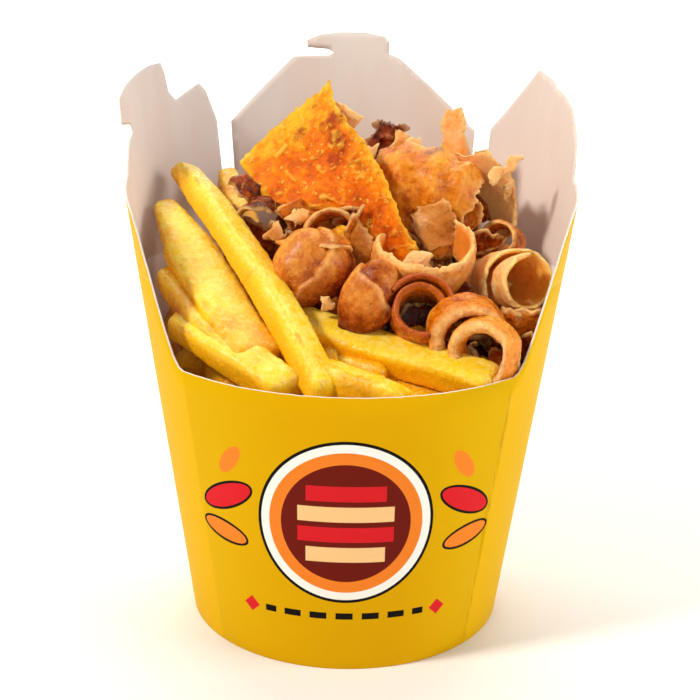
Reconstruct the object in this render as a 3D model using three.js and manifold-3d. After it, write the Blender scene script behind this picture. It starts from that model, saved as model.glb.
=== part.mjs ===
// Takeaway kebab box: a round-bottomed paperboard box with its lid flaps standing open,
// filled with chunky fries and shaved, rolled and folded slices of kebab meat.
// Millimetres, +Z up. The cut-down front faces -Y. The shapes are worked out about the box's
// own upright axis, and the whole is then moved back so that the origin is the middle of its
// bounds, on the table.

import * as THREE from "three";
import { mergeVertices } from "three/addons/utils/BufferGeometryUtils.js";
import Module from "manifold-3d";

const wasm = await Module();
wasm.setup();

// Board and box.
const BOARD = 0.5; // paperboard thickness
const FOOT_RADIUS = 43; // outside of the wall at the foot
const TAPER = 0.1332; // the wall leans out this much for each millimetre of height
const CORNER_REACH = 0.035; // how far the corners stand out of the round at the creases
const FRONT_CORNER = 46.5; // the four upright corner creases, degrees from the front
const BACK_CORNER = 140;
const FULL_TURN = 360;
const CREASE_HEIGHT = 98; // the crease that each lid flap folds on
const CUT_HEIGHT = 74.6; // the cut edge of the front panel, at its corners
const CUT_DIP = 1.4; // and how much lower it is in the middle
const SHEET_TOP = 165; // the blank before its outline is cut
const GAP = 0.3; // between pieces that touch
const AXIS_PLACE = -5.7; // the upright axis stands this far along Y from the origin

// Foot: the wall turns up into a hem that clasps the rim of the floor disc.
const HEM_HEIGHT = 5.5;
const HEM_SLOT = BOARD + 2 * GAP;
const FLOOR_HEIGHT = 6.4; // top of the floor disc

const RAD = Math.PI / 180;

// ---------------------------------------------------------------- solids

function signedVolume(points, triangles) {
  const corner = [new THREE.Vector3(), new THREE.Vector3(), new THREE.Vector3()];
  return triangles.reduce((sum, triangle) => {
    triangle.forEach((index, spot) => corner[spot].fromArray(points[index]));
    return sum + corner[0].dot(corner[1].cross(corner[2])) / 6;
  }, 0);
}

// A solid from points and triangles, turned the right way out whichever way round they run.
function solidFromGrid(points, triangles) {
  const outward = signedVolume(points, triangles) > 0;
  const faces = outward ? triangles : triangles.map(([a, b, c]) => [a, c, b]);
  const geometry = new THREE.BufferGeometry();
  geometry.setAttribute("position", new THREE.Float32BufferAttribute(points.flat(), 3));
  geometry.setIndex(faces.flat());
  return solidFrom(geometry);
}

function solidFrom(geometry) {
  const bare = geometry.clone();
  bare.deleteAttribute("normal");
  bare.deleteAttribute("uv");
  const merged = mergeVertices(bare, 1e-4);
  const position = merged.getAttribute("position").array;
  const index = merged.getIndex().array;
  const solid = new wasm.Manifold(
    new wasm.Mesh({
      numProp: 3,
      vertProperties: new Float32Array(position),
      triVerts: new Uint32Array(index),
    }),
  );
  return solid;
}

function geometryFrom(solid) {
  const mesh = solid.getMesh();
  const geometry = new THREE.BufferGeometry();
  geometry.setAttribute("position", new THREE.BufferAttribute(mesh.vertProperties, 3));
  geometry.setIndex(new THREE.BufferAttribute(mesh.triVerts, 1));
  geometry.computeVertexNormals();
  return geometry;
}

// The largest body, for a piece that its neighbours have cut into.
function largestBody(solid) {
  const bodies = solid.decompose();
  bodies.sort((a, b) => b.volume() - a.volume());
  return bodies[0];
}

// Quads between neighbouring rings of points; every ring holds the same number of points.
function ringTriangles(ringCount, ringSize, closedAround, closedAlong) {
  const triangles = [];
  const lastRing = closedAlong ? ringCount : ringCount - 1;
  const lastPoint = closedAround ? ringSize : ringSize - 1;
  for (let ring = 0; ring < lastRing; ring += 1) {
    const next = (ring + 1) % ringCount;
    for (let spot = 0; spot < lastPoint; spot += 1) {
      const after = (spot + 1) % ringSize;
      const a = ring * ringSize + spot;
      const b = ring * ringSize + after;
      const c = next * ringSize + after;
      const d = next * ringSize + spot;
      triangles.push([a, b, c], [a, c, d]);
    }
  }
  return triangles;
}

// A fan that closes one end ring on a middle point.
function fanTriangles(firstPoint, ringSize, middle, flipped) {
  const triangles = [];
  for (let spot = 0; spot < ringSize; spot += 1) {
    const a = firstPoint + spot;
    const b = firstPoint + ((spot + 1) % ringSize);
    triangles.push(flipped ? [middle, b, a] : [middle, a, b]);
  }
  return triangles;
}

// ---------------------------------------------------------------- paperboard

const PANELS = [
  { from: -FRONT_CORNER, to: FRONT_CORNER, steps: 14 },
  { from: FRONT_CORNER, to: BACK_CORNER, steps: 14 },
  { from: BACK_CORNER, to: FULL_TURN - BACK_CORNER, steps: 12 },
  { from: FULL_TURN - BACK_CORNER, to: FULL_TURN - FRONT_CORNER, steps: 14 },
];

// The wall is round at the foot. Higher up each panel is a flatter arc between its two corners.
function wallRadius(turn, height) {
  const angle = THREE.MathUtils.euclideanModulo(turn + FRONT_CORNER, FULL_TURN) - FRONT_CORNER;
  const panel = PANELS.find((one) => angle <= one.to);
  const half = ((panel.to - panel.from) / 2) * RAD;
  const fromMiddle = (angle - (panel.to + panel.from) / 2) * RAD;
  const middleRadius = FOOT_RADIUS + TAPER * height;
  const reach = 1 + CORNER_REACH * Math.min(1, height / CREASE_HEIGHT);
  const offset = (middleRadius * (reach * reach - 1)) / (2 * (1 - reach * Math.cos(half)));
  const arcRadius = middleRadius + offset;
  const across = offset * Math.sin(fromMiddle);
  return Math.sqrt(arcRadius * arcRadius - across * across) - offset * Math.cos(fromMiddle);
}

// Turn is counted from the front, towards -X.
function polar(turn, radius, height) {
  return [-radius * Math.sin(turn * RAD), -radius * Math.cos(turn * RAD), height];
}

function wallPoint(turn, height, depth) {
  return polar(turn, wallRadius(turn, height) - depth, height);
}

// The outside of the sleeve is a grid of turns, with each panel's corners on it.
function panelTurns(extra = []) {
  const regular = PANELS.flatMap(({ from, to, steps }) =>
    Array.from({ length: steps }, (_, step) => from + ((to - from) * step) / steps),
  );
  return [...regular, ...extra].sort((a, b) => a - b);
}

// The side panels' front edge sweeps up from the cut corner to the crease, as [turn, height].
const TOP_OF_WALL = CREASE_HEIGHT - GAP / 2;
const FRONT_SWEEP = [
  [FRONT_CORNER, CUT_HEIGHT],
  [48.4, 75.2],
  [50.6, 77.6],
  [53, 83],
  [55.6, 90],
  [58.4, TOP_OF_WALL],
];

function wallTop(turn) {
  const side = Math.min(Math.abs(turn), Math.abs(FULL_TURN - turn));
  if (side <= FRONT_CORNER) return CUT_HEIGHT - CUT_DIP * (1 - (side / FRONT_CORNER) ** 2);
  const above = FRONT_SWEEP.findIndex(([place]) => place > side);
  if (above < 0) return TOP_OF_WALL;
  const [lowTurn, low] = FRONT_SWEEP[above - 1];
  const [highTurn, high] = FRONT_SWEEP[above];
  return low + ((high - low) * (side - lowTurn)) / (highTurn - lowTurn);
}

// The wall is one sleeve of board. At the foot it turns in and up again, round the floor's rim.
function buildWall() {
  const sweepTurns = FRONT_SWEEP.slice(1).map(([turn]) => turn);
  const turns = panelTurns([...sweepTurns, ...sweepTurns.map((turn) => FULL_TURN - turn)]);
  const hemOutside = BOARD + HEM_SLOT;
  const hemInside = hemOutside + BOARD;
  const hem = [
    [BOARD, BOARD],
    [hemOutside, BOARD],
    [hemOutside, HEM_HEIGHT],
    [hemInside, HEM_HEIGHT],
    [hemInside, 0],
  ];
  const rings = turns.map((turn) => {
    const top = wallTop(turn);
    const profile = [[0, 0], [0, top / 2], [0, top], [BOARD, top], [BOARD, top / 2], ...hem];
    return profile.map(([depth, height]) => wallPoint(turn, height, depth));
  });
  return solidFromGrid(rings.flat(), ringTriangles(turns.length, rings[0].length, true, true));
}

// A flap is cut from the flat blank and then bent to the wall's shape. The flat blank lies on
// a very shallow arch, which keeps the fold lines that the bend needs.
const ARCH = 0.001;
const BLANK_MARGIN = 6; // the blank reaches past the flap's outline
const BLANK_MIDDLE = 124; // a row of points across the blank, so that it bends evenly

// Closes the two ends of a sheet made of rings that run up one face and down the other.
function sheetEnds(ringCount, ringSize) {
  const triangles = [];
  const last = (ringCount - 1) * ringSize;
  for (let spot = 0; spot < ringSize / 2 - 1; spot += 1) {
    const opposite = ringSize - 1 - spot;
    triangles.push([spot, opposite, spot + 1]);
    triangles.push([spot + 1, opposite, opposite - 1]);
    triangles.push([last + spot, last + spot + 1, last + opposite]);
    triangles.push([last + spot + 1, last + opposite - 1, last + opposite]);
  }
  return triangles;
}

function buildFlap(outline) {
  const outlineTurns = outline.map(([turn]) => turn);
  const lowest = Math.min(...outlineTurns) - BLANK_MARGIN;
  const highest = Math.max(...outlineTurns) + BLANK_MARGIN;
  const inside = panelTurns().filter((turn) => turn > lowest && turn < highest);
  const arch = (turn) => ARCH * (turn - (lowest + highest) / 2) ** 2;
  const heights = [CREASE_HEIGHT - BLANK_MARGIN, BLANK_MIDDLE, SHEET_TOP];
  const profile = [
    ...heights.map((height) => [0, height]),
    ...heights.toReversed().map((height) => [BOARD, height]),
  ];
  const rings = inside.map((turn) => profile.map(([depth, height]) => [turn, depth + arch(turn), height]));
  const triangles = [
    ...ringTriangles(inside.length, profile.length, true, false),
    ...sheetEnds(inside.length, profile.length),
  ];
  const blank = solidFromGrid(rings.flat(), triangles);
  const shape = new THREE.Shape(outline.map(([turn, height]) => new THREE.Vector2(turn, height)));
  const punch = new THREE.ExtrudeGeometry(shape, { depth: SHEET_TOP, bevelEnabled: false });
  punch.rotateX(Math.PI / 2);
  punch.translate(0, SHEET_TOP / 2, 0);
  const cut = blank.intersect(solidFrom(punch)).getMesh();
  const points = [];
  for (let index = 0; index < cut.vertProperties.length; index += 3) {
    const [turn, depth, height] = cut.vertProperties.slice(index, index + 3);
    points.push(wallPoint(turn, height, depth - arch(turn)));
  }
  const faces = [];
  for (let index = 0; index < cut.triVerts.length; index += 3) {
    faces.push([...cut.triVerts.slice(index, index + 3)]);
  }
  return solidFromGrid(points, faces);
}

// The floor disc's rim is turned down into the wall's hem.
function buildFloor() {
  const rim = BOARD + GAP;
  const profile = [
    [rim, FLOOR_HEIGHT],
    [rim, rim],
    [rim + BOARD, rim],
    [rim + BOARD, FLOOR_HEIGHT - BOARD],
  ];
  const turns = panelTurns();
  const rings = turns.map((turn) => profile.map(([depth, height]) => wallPoint(turn, height, depth)));
  const middles = [[0, 0, FLOOR_HEIGHT], [0, 0, FLOOR_HEIGHT - BOARD]];
  const size = profile.length;
  const top = turns.length * size;
  const triangles = ringTriangles(turns.length, size, false, true);
  turns.forEach((_, ring) => {
    const next = (ring + 1) % turns.length;
    triangles.push([ring * size, next * size, top]);
    triangles.push([ring * size + size - 1, top + 1, next * size + size - 1]);
  });
  return solidFromGrid([...rings.flat(), ...middles], triangles);
}

const BOTTOM_OF_FLAPS = CREASE_HEIGHT + GAP / 2;
const mirrored = (outline) => outline.map(([turn, height]) => [FULL_TURN - turn, height]);

// Flap outlines, as [turn, height]: degrees from the front and millimetres.
const BACK_FLAP = [
  [142.5, BOTTOM_OF_FLAPS],
  [142.8, 131],
  [162.5, 151],
  [172.5, 151.6],
  [174, 152.4],
  [172.5, 153.4],
  [166.5, 153.8],
  [166.3, 156],
  [170, 157.8],
  [176, 158.7],
  [183, 158.7],
  [188.5, 157.6],
  [190, 155.4],
  [190, 152.2],
  [193, 151],
  [208, 137.5],
  [217.2, 129.5],
  [218.2, BOTTOM_OF_FLAPS],
];

// Both side flaps rise from the crease along the same front edge.
const SIDE_FRONT_EDGE = [
  [58.8, BOTTOM_OF_FLAPS],
  [62, 105],
  [66, 110],
  [72, 113.5],
  [80, 115.5],
  [87, 117.5],
];

const LEFT_FLAP = [
  ...SIDE_FRONT_EDGE,
  [91, 122],
  [94.5, 126],
  [98.5, 128.3],
  [97.5, 130.3],
  [90.5, 130.3],
  [91.8, 137],
  [98, 140.3],
  [107, 144],
  [113, 146.2],
  [118.2, 147.2],
  [119.3, 144.5],
  [120.2, 139.2],
  [123, 137],
  [132.8, 142],
  [135, 140],
  [138, 131.5],
  [138.6, BOTTOM_OF_FLAPS],
];

const RIGHT_FLAP = [
  ...SIDE_FRONT_EDGE,
  [91.5, 118.6],
  [92.2, 122],
  [96, 129.2],
  [102, 136],
  [108, 140],
  [113, 142.2],
  [114.8, 144],
  [122, 147.2],
  [137.3, 130.2],
  [137.8, BOTTOM_OF_FLAPS],
];

// ---------------------------------------------------------------- food shapes

// A cut fry: a squared bar along a slightly bowed line from one end to the other.
const FRY = {
  stations: 7, // rings of points along it
  around: 10, // points in a ring
  squareness: 0.62,
  endShare: 0.8, // how thick it is at its very ends
  endReach: 14, // and how far the ends' narrowing runs
  tipReach: 20, // how far a pointed first end runs
  unevenness: 0.05,
  waves: 9,
};

function fry({ from, to, bow, width, height, roll, tip }, grow = 0) {
  const start = new THREE.Vector3(...from);
  const end = new THREE.Vector3(...to);
  const forward = end.clone().sub(start).normalize();
  const level = new THREE.Vector3(0, 0, 1).cross(forward).normalize();
  const sideways = level.applyAxisAngle(forward, roll * RAD);
  const upward = forward.clone().cross(sideways);
  const square = (value) => Math.sign(value) * Math.abs(value) ** FRY.squareness;
  const length = start.distanceTo(end) + 2 * grow;
  const rings = [];
  for (let station = 0; station < FRY.stations; station += 1) {
    const along = station / (FRY.stations - 1);
    const fromEnd = Math.min(along, 1 - along) * length;
    const blunt = Math.min(1, FRY.endShare + fromEnd / FRY.endReach);
    const pointed = Math.min(1, tip + ((1 - tip) * along * length) / FRY.tipReach);
    const waist = 1 + FRY.unevenness * Math.sin(along * FRY.waves + length);
    const across = (width * blunt * pointed * waist) / 2 + grow;
    const high = (height * blunt * pointed * (2 - waist)) / 2 + grow;
    const middle = start
      .clone()
      .addScaledVector(forward, along * length - grow)
      .addScaledVector(upward, bow * Math.sin(along * Math.PI));
    for (let spot = 0; spot < FRY.around; spot += 1) {
      const angle = (spot / FRY.around) * 2 * Math.PI;
      const point = middle
        .clone()
        .addScaledVector(sideways, across * square(Math.cos(angle)))
        .addScaledVector(upward, high * square(Math.sin(angle)));
      rings.push(point.toArray());
    }
  }
  const first = start.clone().addScaledVector(forward, -grow).toArray();
  const last = start.clone().addScaledVector(forward, length - grow).toArray();
  const points = [...rings, first, last];
  const triangles = [
    ...ringTriangles(FRY.stations, FRY.around, true, false),
    ...fanTriangles(0, FRY.around, rings.length, true),
    ...fanTriangles((FRY.stations - 1) * FRY.around, FRY.around, rings.length + 1, false),
  ];
  return solidFromGrid(points, triangles);
}

// A value read between evenly spaced ones.
function valueAlong(values, share) {
  const place = share * (values.length - 1);
  const below = Math.min(Math.floor(place), Math.max(values.length - 2, 0));
  const above = Math.min(below + 1, values.length - 1);
  return THREE.MathUtils.lerp(values[below], values[above], place - below);
}

// A shaving of meat: a thick sheet curled about an axis. It may run straight before and after
// the curl, change its width and shift sideways along its length, flare like a cone and bow
// across its width.
const SHAVING = {
  across: 4, // points across the sheet
  leastSteps: 6,
  degreesPerStep: 30,
  straightSteps: 2,
  rimShare: 0.7, // how thick it is at its rims
  endShare: 0.7, // and at its ends
  endReach: 8, // the ends' thinning runs over one such part of its length
};

function shavingGrid(shape, grow) {
  const { axis, start, radius, turn, width, thickness } = shape;
  const { pitch = 0, lead = 0, tail = 0, cone = 0, dish = 0, shift = [0] } = shape;
  const along = new THREE.Vector3(...axis).normalize();
  const outward = new THREE.Vector3(...start).projectOnPlane(along).normalize();
  const onward = along.clone().cross(outward);
  const arc = radius * turn * RAD;
  const length = lead + arc + tail;
  const straights = (lead > 0 ? SHAVING.straightSteps : 0) + (tail > 0 ? SHAVING.straightSteps : 0);
  const steps = Math.max(SHAVING.leastSteps, Math.round(turn / SHAVING.degreesPerStep) + straights);
  const points = [];
  for (let step = 0; step <= steps; step += 1) {
    const share = step / steps;
    const travel = share * (length + 2 * grow) - grow;
    const onArc = THREE.MathUtils.clamp(travel - lead, 0, arc) / radius;
    const straight = travel - lead - onArc * radius;
    const reach = radius + (pitch * onArc) / (2 * Math.PI);
    const normal = outward.clone().multiplyScalar(Math.cos(onArc));
    normal.addScaledVector(onward, Math.sin(onArc));
    const tangent = onward.clone().multiplyScalar(Math.cos(onArc));
    tangent.addScaledVector(outward, -Math.sin(onArc));
    const base = normal.clone().multiplyScalar(reach).addScaledVector(tangent, straight);
    const wide = valueAlong(width, share) + 2 * grow;
    const nearEnd = Math.min(1, Math.min(share, 1 - share) * SHAVING.endReach);
    const ends = SHAVING.endShare + (1 - SHAVING.endShare) * nearEnd;
    const aside = valueAlong(shift, share);
    const row = (spot, side) => {
      const across = spot / (SHAVING.across - 1) - 0.5;
      const rim = spot === 0 || spot === SHAVING.across - 1 ? SHAVING.rimShare : 1;
      const half = (thickness / 2) * rim * ends + grow;
      const bowed = dish * (1 - 4 * across * across);
      return base
        .clone()
        .addScaledVector(normal, cone * across * wide + bowed + side * half)
        .addScaledVector(along, across * wide + aside)
        .toArray();
    };
    for (let spot = 0; spot < SHAVING.across; spot += 1) points.push(row(spot, 1));
    for (let spot = SHAVING.across - 1; spot >= 0; spot -= 1) points.push(row(spot, -1));
  }
  const size = 2 * SHAVING.across;
  const triangles = [...ringTriangles(steps + 1, size, true, false), ...sheetEnds(steps + 1, size)];
  return { points, triangles };
}

// The middle of the shaving's box goes to its place.
function shaving({ at, ...shape }, grow = 0) {
  const plain = shavingGrid(shape, 0).points.map((point) => new THREE.Vector3(...point));
  const box = new THREE.Box3().setFromPoints(plain);
  const move = new THREE.Vector3(...at).sub(box.getCenter(new THREE.Vector3()));
  const { points, triangles } = shavingGrid(shape, grow);
  return solidFromGrid(
    points.map(([x, y, z]) => [x + move.x, y + move.y, z + move.z]),
    triangles,
  );
}

// A chunk of meat that has folded in on itself: a lumpy ball with one side tucked in.
const CHUNK_AROUND = 10;
const CHUNK_TALL = 7;

function chunk({ at, size, lean, tuck }, grow = 0) {
  const geometry = new THREE.SphereGeometry(1, CHUNK_AROUND, CHUNK_TALL);
  const position = geometry.getAttribute("position");
  const spot = new THREE.Vector3();
  const turn = new THREE.Euler(lean[0] * RAD, lean[1] * RAD, lean[2] * RAD);
  for (let index = 0; index < position.count; index += 1) {
    spot.fromBufferAttribute(position, index);
    const broad = 0.09 * Math.sin(3 * spot.x + 4 * spot.z);
    const lump = 1 + broad + 0.07 * Math.cos(5 * spot.y - 2 * spot.x);
    const dent = 1 - tuck * Math.max(0, spot.x) ** 2;
    spot.multiplyScalar(lump * dent);
    spot.multiply(new THREE.Vector3(...size).multiplyScalar(0.5).addScalar(grow));
    spot.applyEuler(turn);
    position.setXYZ(index, spot.x + at[0], spot.y + at[1], spot.z + at[2]);
  }
  return solidFrom(geometry);
}

// ---------------------------------------------------------------- food in its place

// Each fry's two ends, how far it bows, its thickness both ways, how far it is rolled over and
// what share of its thickness is left at its first end.
const FRIES = {
  fry_long: {
    from: [-48.2, 20, 118.5],
    to: [-4.6, -46, 71],
    bow: 2.4,
    width: 9.1,
    height: 7.7,
    roll: -20,
    tip: 0.75,
  },
  fry_left: {
    from: [-52, 10, 110],
    to: [-21, -37, 76],
    bow: -1.2,
    width: 13.9,
    height: 8.3,
    roll: 5,
    tip: 0.42,
  },
  fry_right: {
    from: [-14, -17, 82.5],
    to: [35, -38.5, 72.8],
    bow: -0.6,
    width: 10.3,
    height: 7.7,
    roll: 25,
    tip: 1,
  },
  fry_low_left: {
    from: [-44.5, -19, 82.5],
    to: [-13.5, -44.5, 71.2],
    bow: 1.8,
    width: 10.1,
    height: 8.7,
    roll: 20,
    tip: 0.8,
  },
  fry_mid_left: {
    from: [-49, -7, 93],
    to: [-26, -36, 76.5],
    bow: -0.5,
    width: 9.5,
    height: 7.7,
    roll: 0,
    tip: 0.65,
  },
  fry_low_middle: {
    from: [-8, -38.5, 74.5],
    to: [13, -45.5, 69.2],
    bow: 0.5,
    width: 9.9,
    height: 7.9,
    roll: 0,
    tip: 1,
  },
  fry_back: {
    from: [-37, 30, 116],
    to: [-27, 8, 98],
    bow: 1,
    width: 8.1,
    height: 7.1,
    roll: 0,
    tip: 0.8,
  },
};

const SHAVINGS = {
  crisp_slice: {
    at: [-6, 5, 116.5],
    axis: [0.75, -0.06, 0.66],
    start: [-0.435, -0.78, 0.425],
    radius: 105,
    turn: 32,
    width: [33, 31.5, 29, 17, 11, 9, 6],
    shift: [1.5, -0.2, 0.5, 6, 7, 5.5, 4],
    thickness: 1.8,
  },
  roll_dark: {
    at: [17.6, -24, 87],
    axis: [0, -0.85, 0.52],
    start: [1, 0, 0.3],
    radius: 5.5,
    turn: 500,
    pitch: 2.2,
    width: [12, 12, 11],
    shift: [-0.5, 0, 0.5],
    thickness: 1.7,
  },
  roll_pale: {
    at: [40.2, -12, 92.7],
    axis: [0.3, -0.93, 0.2],
    start: [0, 0, 1],
    radius: 5,
    turn: 560,
    pitch: 1.9,
    cone: 0.1,
    width: [23, 23, 15],
    shift: [5, 0, -6],
    thickness: 1.4,
  },
  cup_slice: {
    at: [18.6, -12, 98.8],
    axis: [0.12, -0.35, 0.9],
    start: [-0.8, 0.6, 0],
    radius: 12.2,
    turn: 262,
    width: [6, 7, 7, 12, 9],
    shift: [-2, 0, 0, 1, 2],
    thickness: 1.9,
  },
  folded_slice: {
    at: [21, 12.5, 111],
    axis: [0.93, -0.25, -0.22],
    start: [0, 0.7, 0.7],
    radius: 8.6,
    turn: 145,
    lead: 4,
    tail: 12,
    dish: 3.4,
    width: [22, 30, 30, 22, 9],
    shift: [-1, 0, 0, 3, 8],
    thickness: 2,
  },
  arch_back: {
    at: [28.6, -29.5, 83.6],
    axis: [-0.05, 0.97, 0.2],
    start: [-1, 0, -0.1],
    radius: 7.6,
    turn: 190,
    lead: 6,
    width: [7, 8, 8],
    thickness: 3.8,
  },
  arch_front: {
    at: [32.4, -35.5, 80.2],
    axis: [0.45, 0.88, 0.05],
    start: [-0.8, 0, -0.6],
    radius: 7,
    turn: 285,
    width: [6, 8, 7],
    thickness: 3.4,
  },
  tall_ribbon: {
    at: [31.5, 26, 122],
    axis: [0.8, -0.35, 0.1],
    start: [0.1, -0.95, 0.3],
    radius: 34,
    turn: 48,
    width: [5, 8, 10, 12],
    thickness: 1.5,
  },
  curved_ribbon: {
    at: [37.6, 11, 111.4],
    axis: [-0.6, 0.75, -0.3],
    start: [0.78, 0, 0.62],
    radius: 11,
    turn: 110,
    lead: 12,
    tail: 5,
    width: [9, 13, 12, 9, 6],
    thickness: 1.5,
  },
  pale_flake: {
    at: [22.5, -1, 106],
    axis: [0.3, -0.1, 0.95],
    start: [-0.7, -0.7, 0],
    radius: 16,
    turn: 42,
    width: [8, 13, 13, 6],
    thickness: 1.4,
  },
  dark_crust: {
    at: [10, 33, 122.3],
    axis: [0.98, 0, -0.05],
    start: [0, -0.9, 0.4],
    radius: 16,
    turn: 80,
    width: [6, 15, 19, 20],
    thickness: 3,
  },
  under_ribbon: {
    at: [-5, -1.5, 104.6],
    axis: [0.1, 0.9, -0.35],
    start: [-0.95, 0, -0.1],
    radius: 7,
    turn: 200,
    width: [7, 9, 7],
    thickness: 1.7,
  },
  toothed_flake: {
    at: [3.2, -6, 101],
    axis: [0.85, -0.35, 0.25],
    start: [-0.3, -0.9, 0.2],
    radius: 24,
    turn: 36,
    width: [3, 6, 7, 6],
    thickness: 1.4,
  },
  small_curl: {
    at: [41, 4.5, 101.5],
    axis: [0.5, 0.8, -0.3],
    start: [-1, 0, 0.2],
    radius: 5.2,
    turn: 230,
    width: [6, 9, 7],
    thickness: 1.4,
  },
  side_flake: {
    at: [44.5, -22, 82],
    axis: [0.1, -0.5, 0.85],
    start: [-0.5, -0.85, 0],
    radius: 12,
    turn: 80,
    width: [12, 16, 12],
    thickness: 1.6,
  },
  left_flake: {
    at: [-27, 9, 100],
    axis: [0.4, -0.3, 0.8],
    start: [-0.7, -0.6, 0.2],
    radius: 13,
    turn: 90,
    width: [11, 15, 10],
    thickness: 1.7,
  },
};

const CHUNKS = {
  meat_ball: { at: [-9, -11, 95], size: [23.5, 21.5, 21.5], lean: [0, 20, 30], tuck: 0.1 },
  meat_fold: { at: [5, -22.5, 90], size: [14, 12.5, 20.5], lean: [0, 25, 0], tuck: 0.1 },
};

// The space inside the board, up to above the flaps.
const INSIDE_STEPS = 24; // points around it
const INSIDE_RINGS = [0.78, 0.54, 0.3]; // rings across its top, as shares of the way out
const INSIDE_LEVELS = [0, 0.5, 1]; // and levels up its side, as shares of the way up
const RIM_LEVEL = 80; // the top is met at about this height

function insideSolid(topAt) {
  const bottom = FLOOR_HEIGHT + GAP;
  const points = [];
  const turns = Array.from({ length: INSIDE_STEPS }, (_, step) => (step * FULL_TURN) / INSIDE_STEPS);
  for (const turn of turns) {
    const room = (height) => wallRadius(turn, height) - BOARD - GAP;
    const [edgeX, edgeY] = polar(turn, room(RIM_LEVEL), 0);
    const rim = topAt(edgeX, edgeY);
    for (const share of INSIDE_LEVELS) {
      const height = bottom + (rim - bottom) * share;
      points.push(polar(turn, room(height), height));
    }
    for (const share of INSIDE_RINGS) {
      const [x, y] = polar(turn, room(rim) * share, 0);
      points.push([x, y, topAt(x, y)]);
    }
  }
  const size = INSIDE_LEVELS.length + INSIDE_RINGS.length;
  const triangles = ringTriangles(INSIDE_STEPS, size, false, false);
  for (let step = 0; step < INSIDE_STEPS; step += 1) {
    const next = (step + 1) % INSIDE_STEPS;
    triangles.push([step * size, next * size, points.length]);
    triangles.push([step * size + size - 1, points.length + 1, next * size + size - 1]);
  }
  for (let spot = 0; spot < size - 1; spot += 1) {
    const last = (INSIDE_STEPS - 1) * size + spot;
    triangles.push([last, last + 1, spot + 1], [last, spot + 1, spot]);
  }
  points.push([0, 0, bottom], [0, 0, topAt(0, 0)]);
  return solidFromGrid(points, triangles);
}

// The heap rises to the back, is fullest behind the middle and lower on the fries' side.
function heapHeight(x, y) {
  const slope = 89 + 0.4 * y;
  const crown = 8 * Math.exp(-((x - 10) ** 2 + (y - 12) ** 2) / 700);
  const friesSide = -7 / (1 + Math.exp((x + 20) / 5));
  const lumps = 1.6 * Math.sin(0.21 * x + 0.4) * Math.cos(0.24 * y);
  const ripples = 1.1 * Math.sin(0.37 * x - 0.31 * y);
  return slope + crown + friesSide + lumps + ripples;
}

// Seen from above, the fries fill the left and the front and the meat the rest.
const FRIES_GROUND = [
  [-80, 62],
  [-36, 35],
  [-25, 10],
  [-17, -9],
  [0, -16],
  [40, -30],
  [80, -44],
  [80, -90],
  [-80, -90],
];

function buildHeaps() {
  const heap = insideSolid(heapHeight);
  const ground = new THREE.Shape(FRIES_GROUND.map(([x, y]) => new THREE.Vector2(x, y)));
  const column = new THREE.ExtrudeGeometry(ground, { depth: SHEET_TOP, bevelEnabled: false });
  const friesColumn = solidFrom(column);
  return {
    fries_heap: heap.intersect(friesColumn.translate([-GAP, -GAP, 0])),
    meat_heap: heap.subtract(friesColumn),
  };
}

// Every piece gives way to those listed before it, and keeps inside the board.
function buildFood() {
  const room = insideSolid(() => SHEET_TOP);
  const shapes = [
    ...Object.entries(FRIES).map(([name, size]) => [name, (grow) => fry(size, grow)]),
    ...Object.entries(SHAVINGS).map(([name, size]) => [name, (grow) => shaving(size, grow)]),
    ...Object.entries(CHUNKS).map(([name, size]) => [name, (grow) => chunk(size, grow)]),
  ];
  const placed = [];
  for (const [name, make] of shapes) {
    let solid = make(0).intersect(room);
    for (const other of placed) solid = solid.subtract(other.swollen);
    placed.push({ name, solid: largestBody(solid), swollen: make(GAP) });
  }
  const heaps = buildHeaps();
  for (const name of Object.keys(heaps)) {
    for (const other of placed) heaps[name] = heaps[name].subtract(other.swollen);
    heaps[name] = largestBody(heaps[name]);
  }
  return [...placed.map(({ name, solid }) => [name, solid]), ...Object.entries(heaps)];
}

// ---------------------------------------------------------------- finishes

const finish = (color, roughness) => new THREE.MeshStandardMaterial({ color, roughness, metalness: 0 });

const finishes = {
  print: () => finish("#efbc02", 0.35),
  liner: () => finish("#e4cdbc", 0.6),
  fry: () => finish("#f2bd2e", 0.6),
  meat: () => finish("#cf7c28", 0.45),
};

function finishOf(name) {
  if (name.startsWith("fr")) return finishes.fry();
  if (["wall", "left_flap", "right_flap", "back_flap"].includes(name)) return finishes.print();
  if (name === "floor_disc") return finishes.liner();
  return finishes.meat();
}

// ---------------------------------------------------------------- the box

const pieces = [
  ["wall", buildWall()],
  ["floor_disc", buildFloor()],
  ["back_flap", buildFlap(BACK_FLAP)],
  ["left_flap", buildFlap(LEFT_FLAP)],
  ["right_flap", buildFlap(mirrored(RIGHT_FLAP))],
  ...buildFood(),
];

const box = new THREE.Group();
box.position.y = AXIS_PLACE;
for (const [name, solid] of pieces) {
  const mesh = new THREE.Mesh(geometryFrom(solid), finishOf(name));
  mesh.name = name;
  box.add(mesh);
}

export default box;
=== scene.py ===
import math
from functools import partial

import bpy
import numpy as np
from mathutils import Matrix, Vector
from mathutils.geometry import delaunay_2d_cdt


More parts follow.
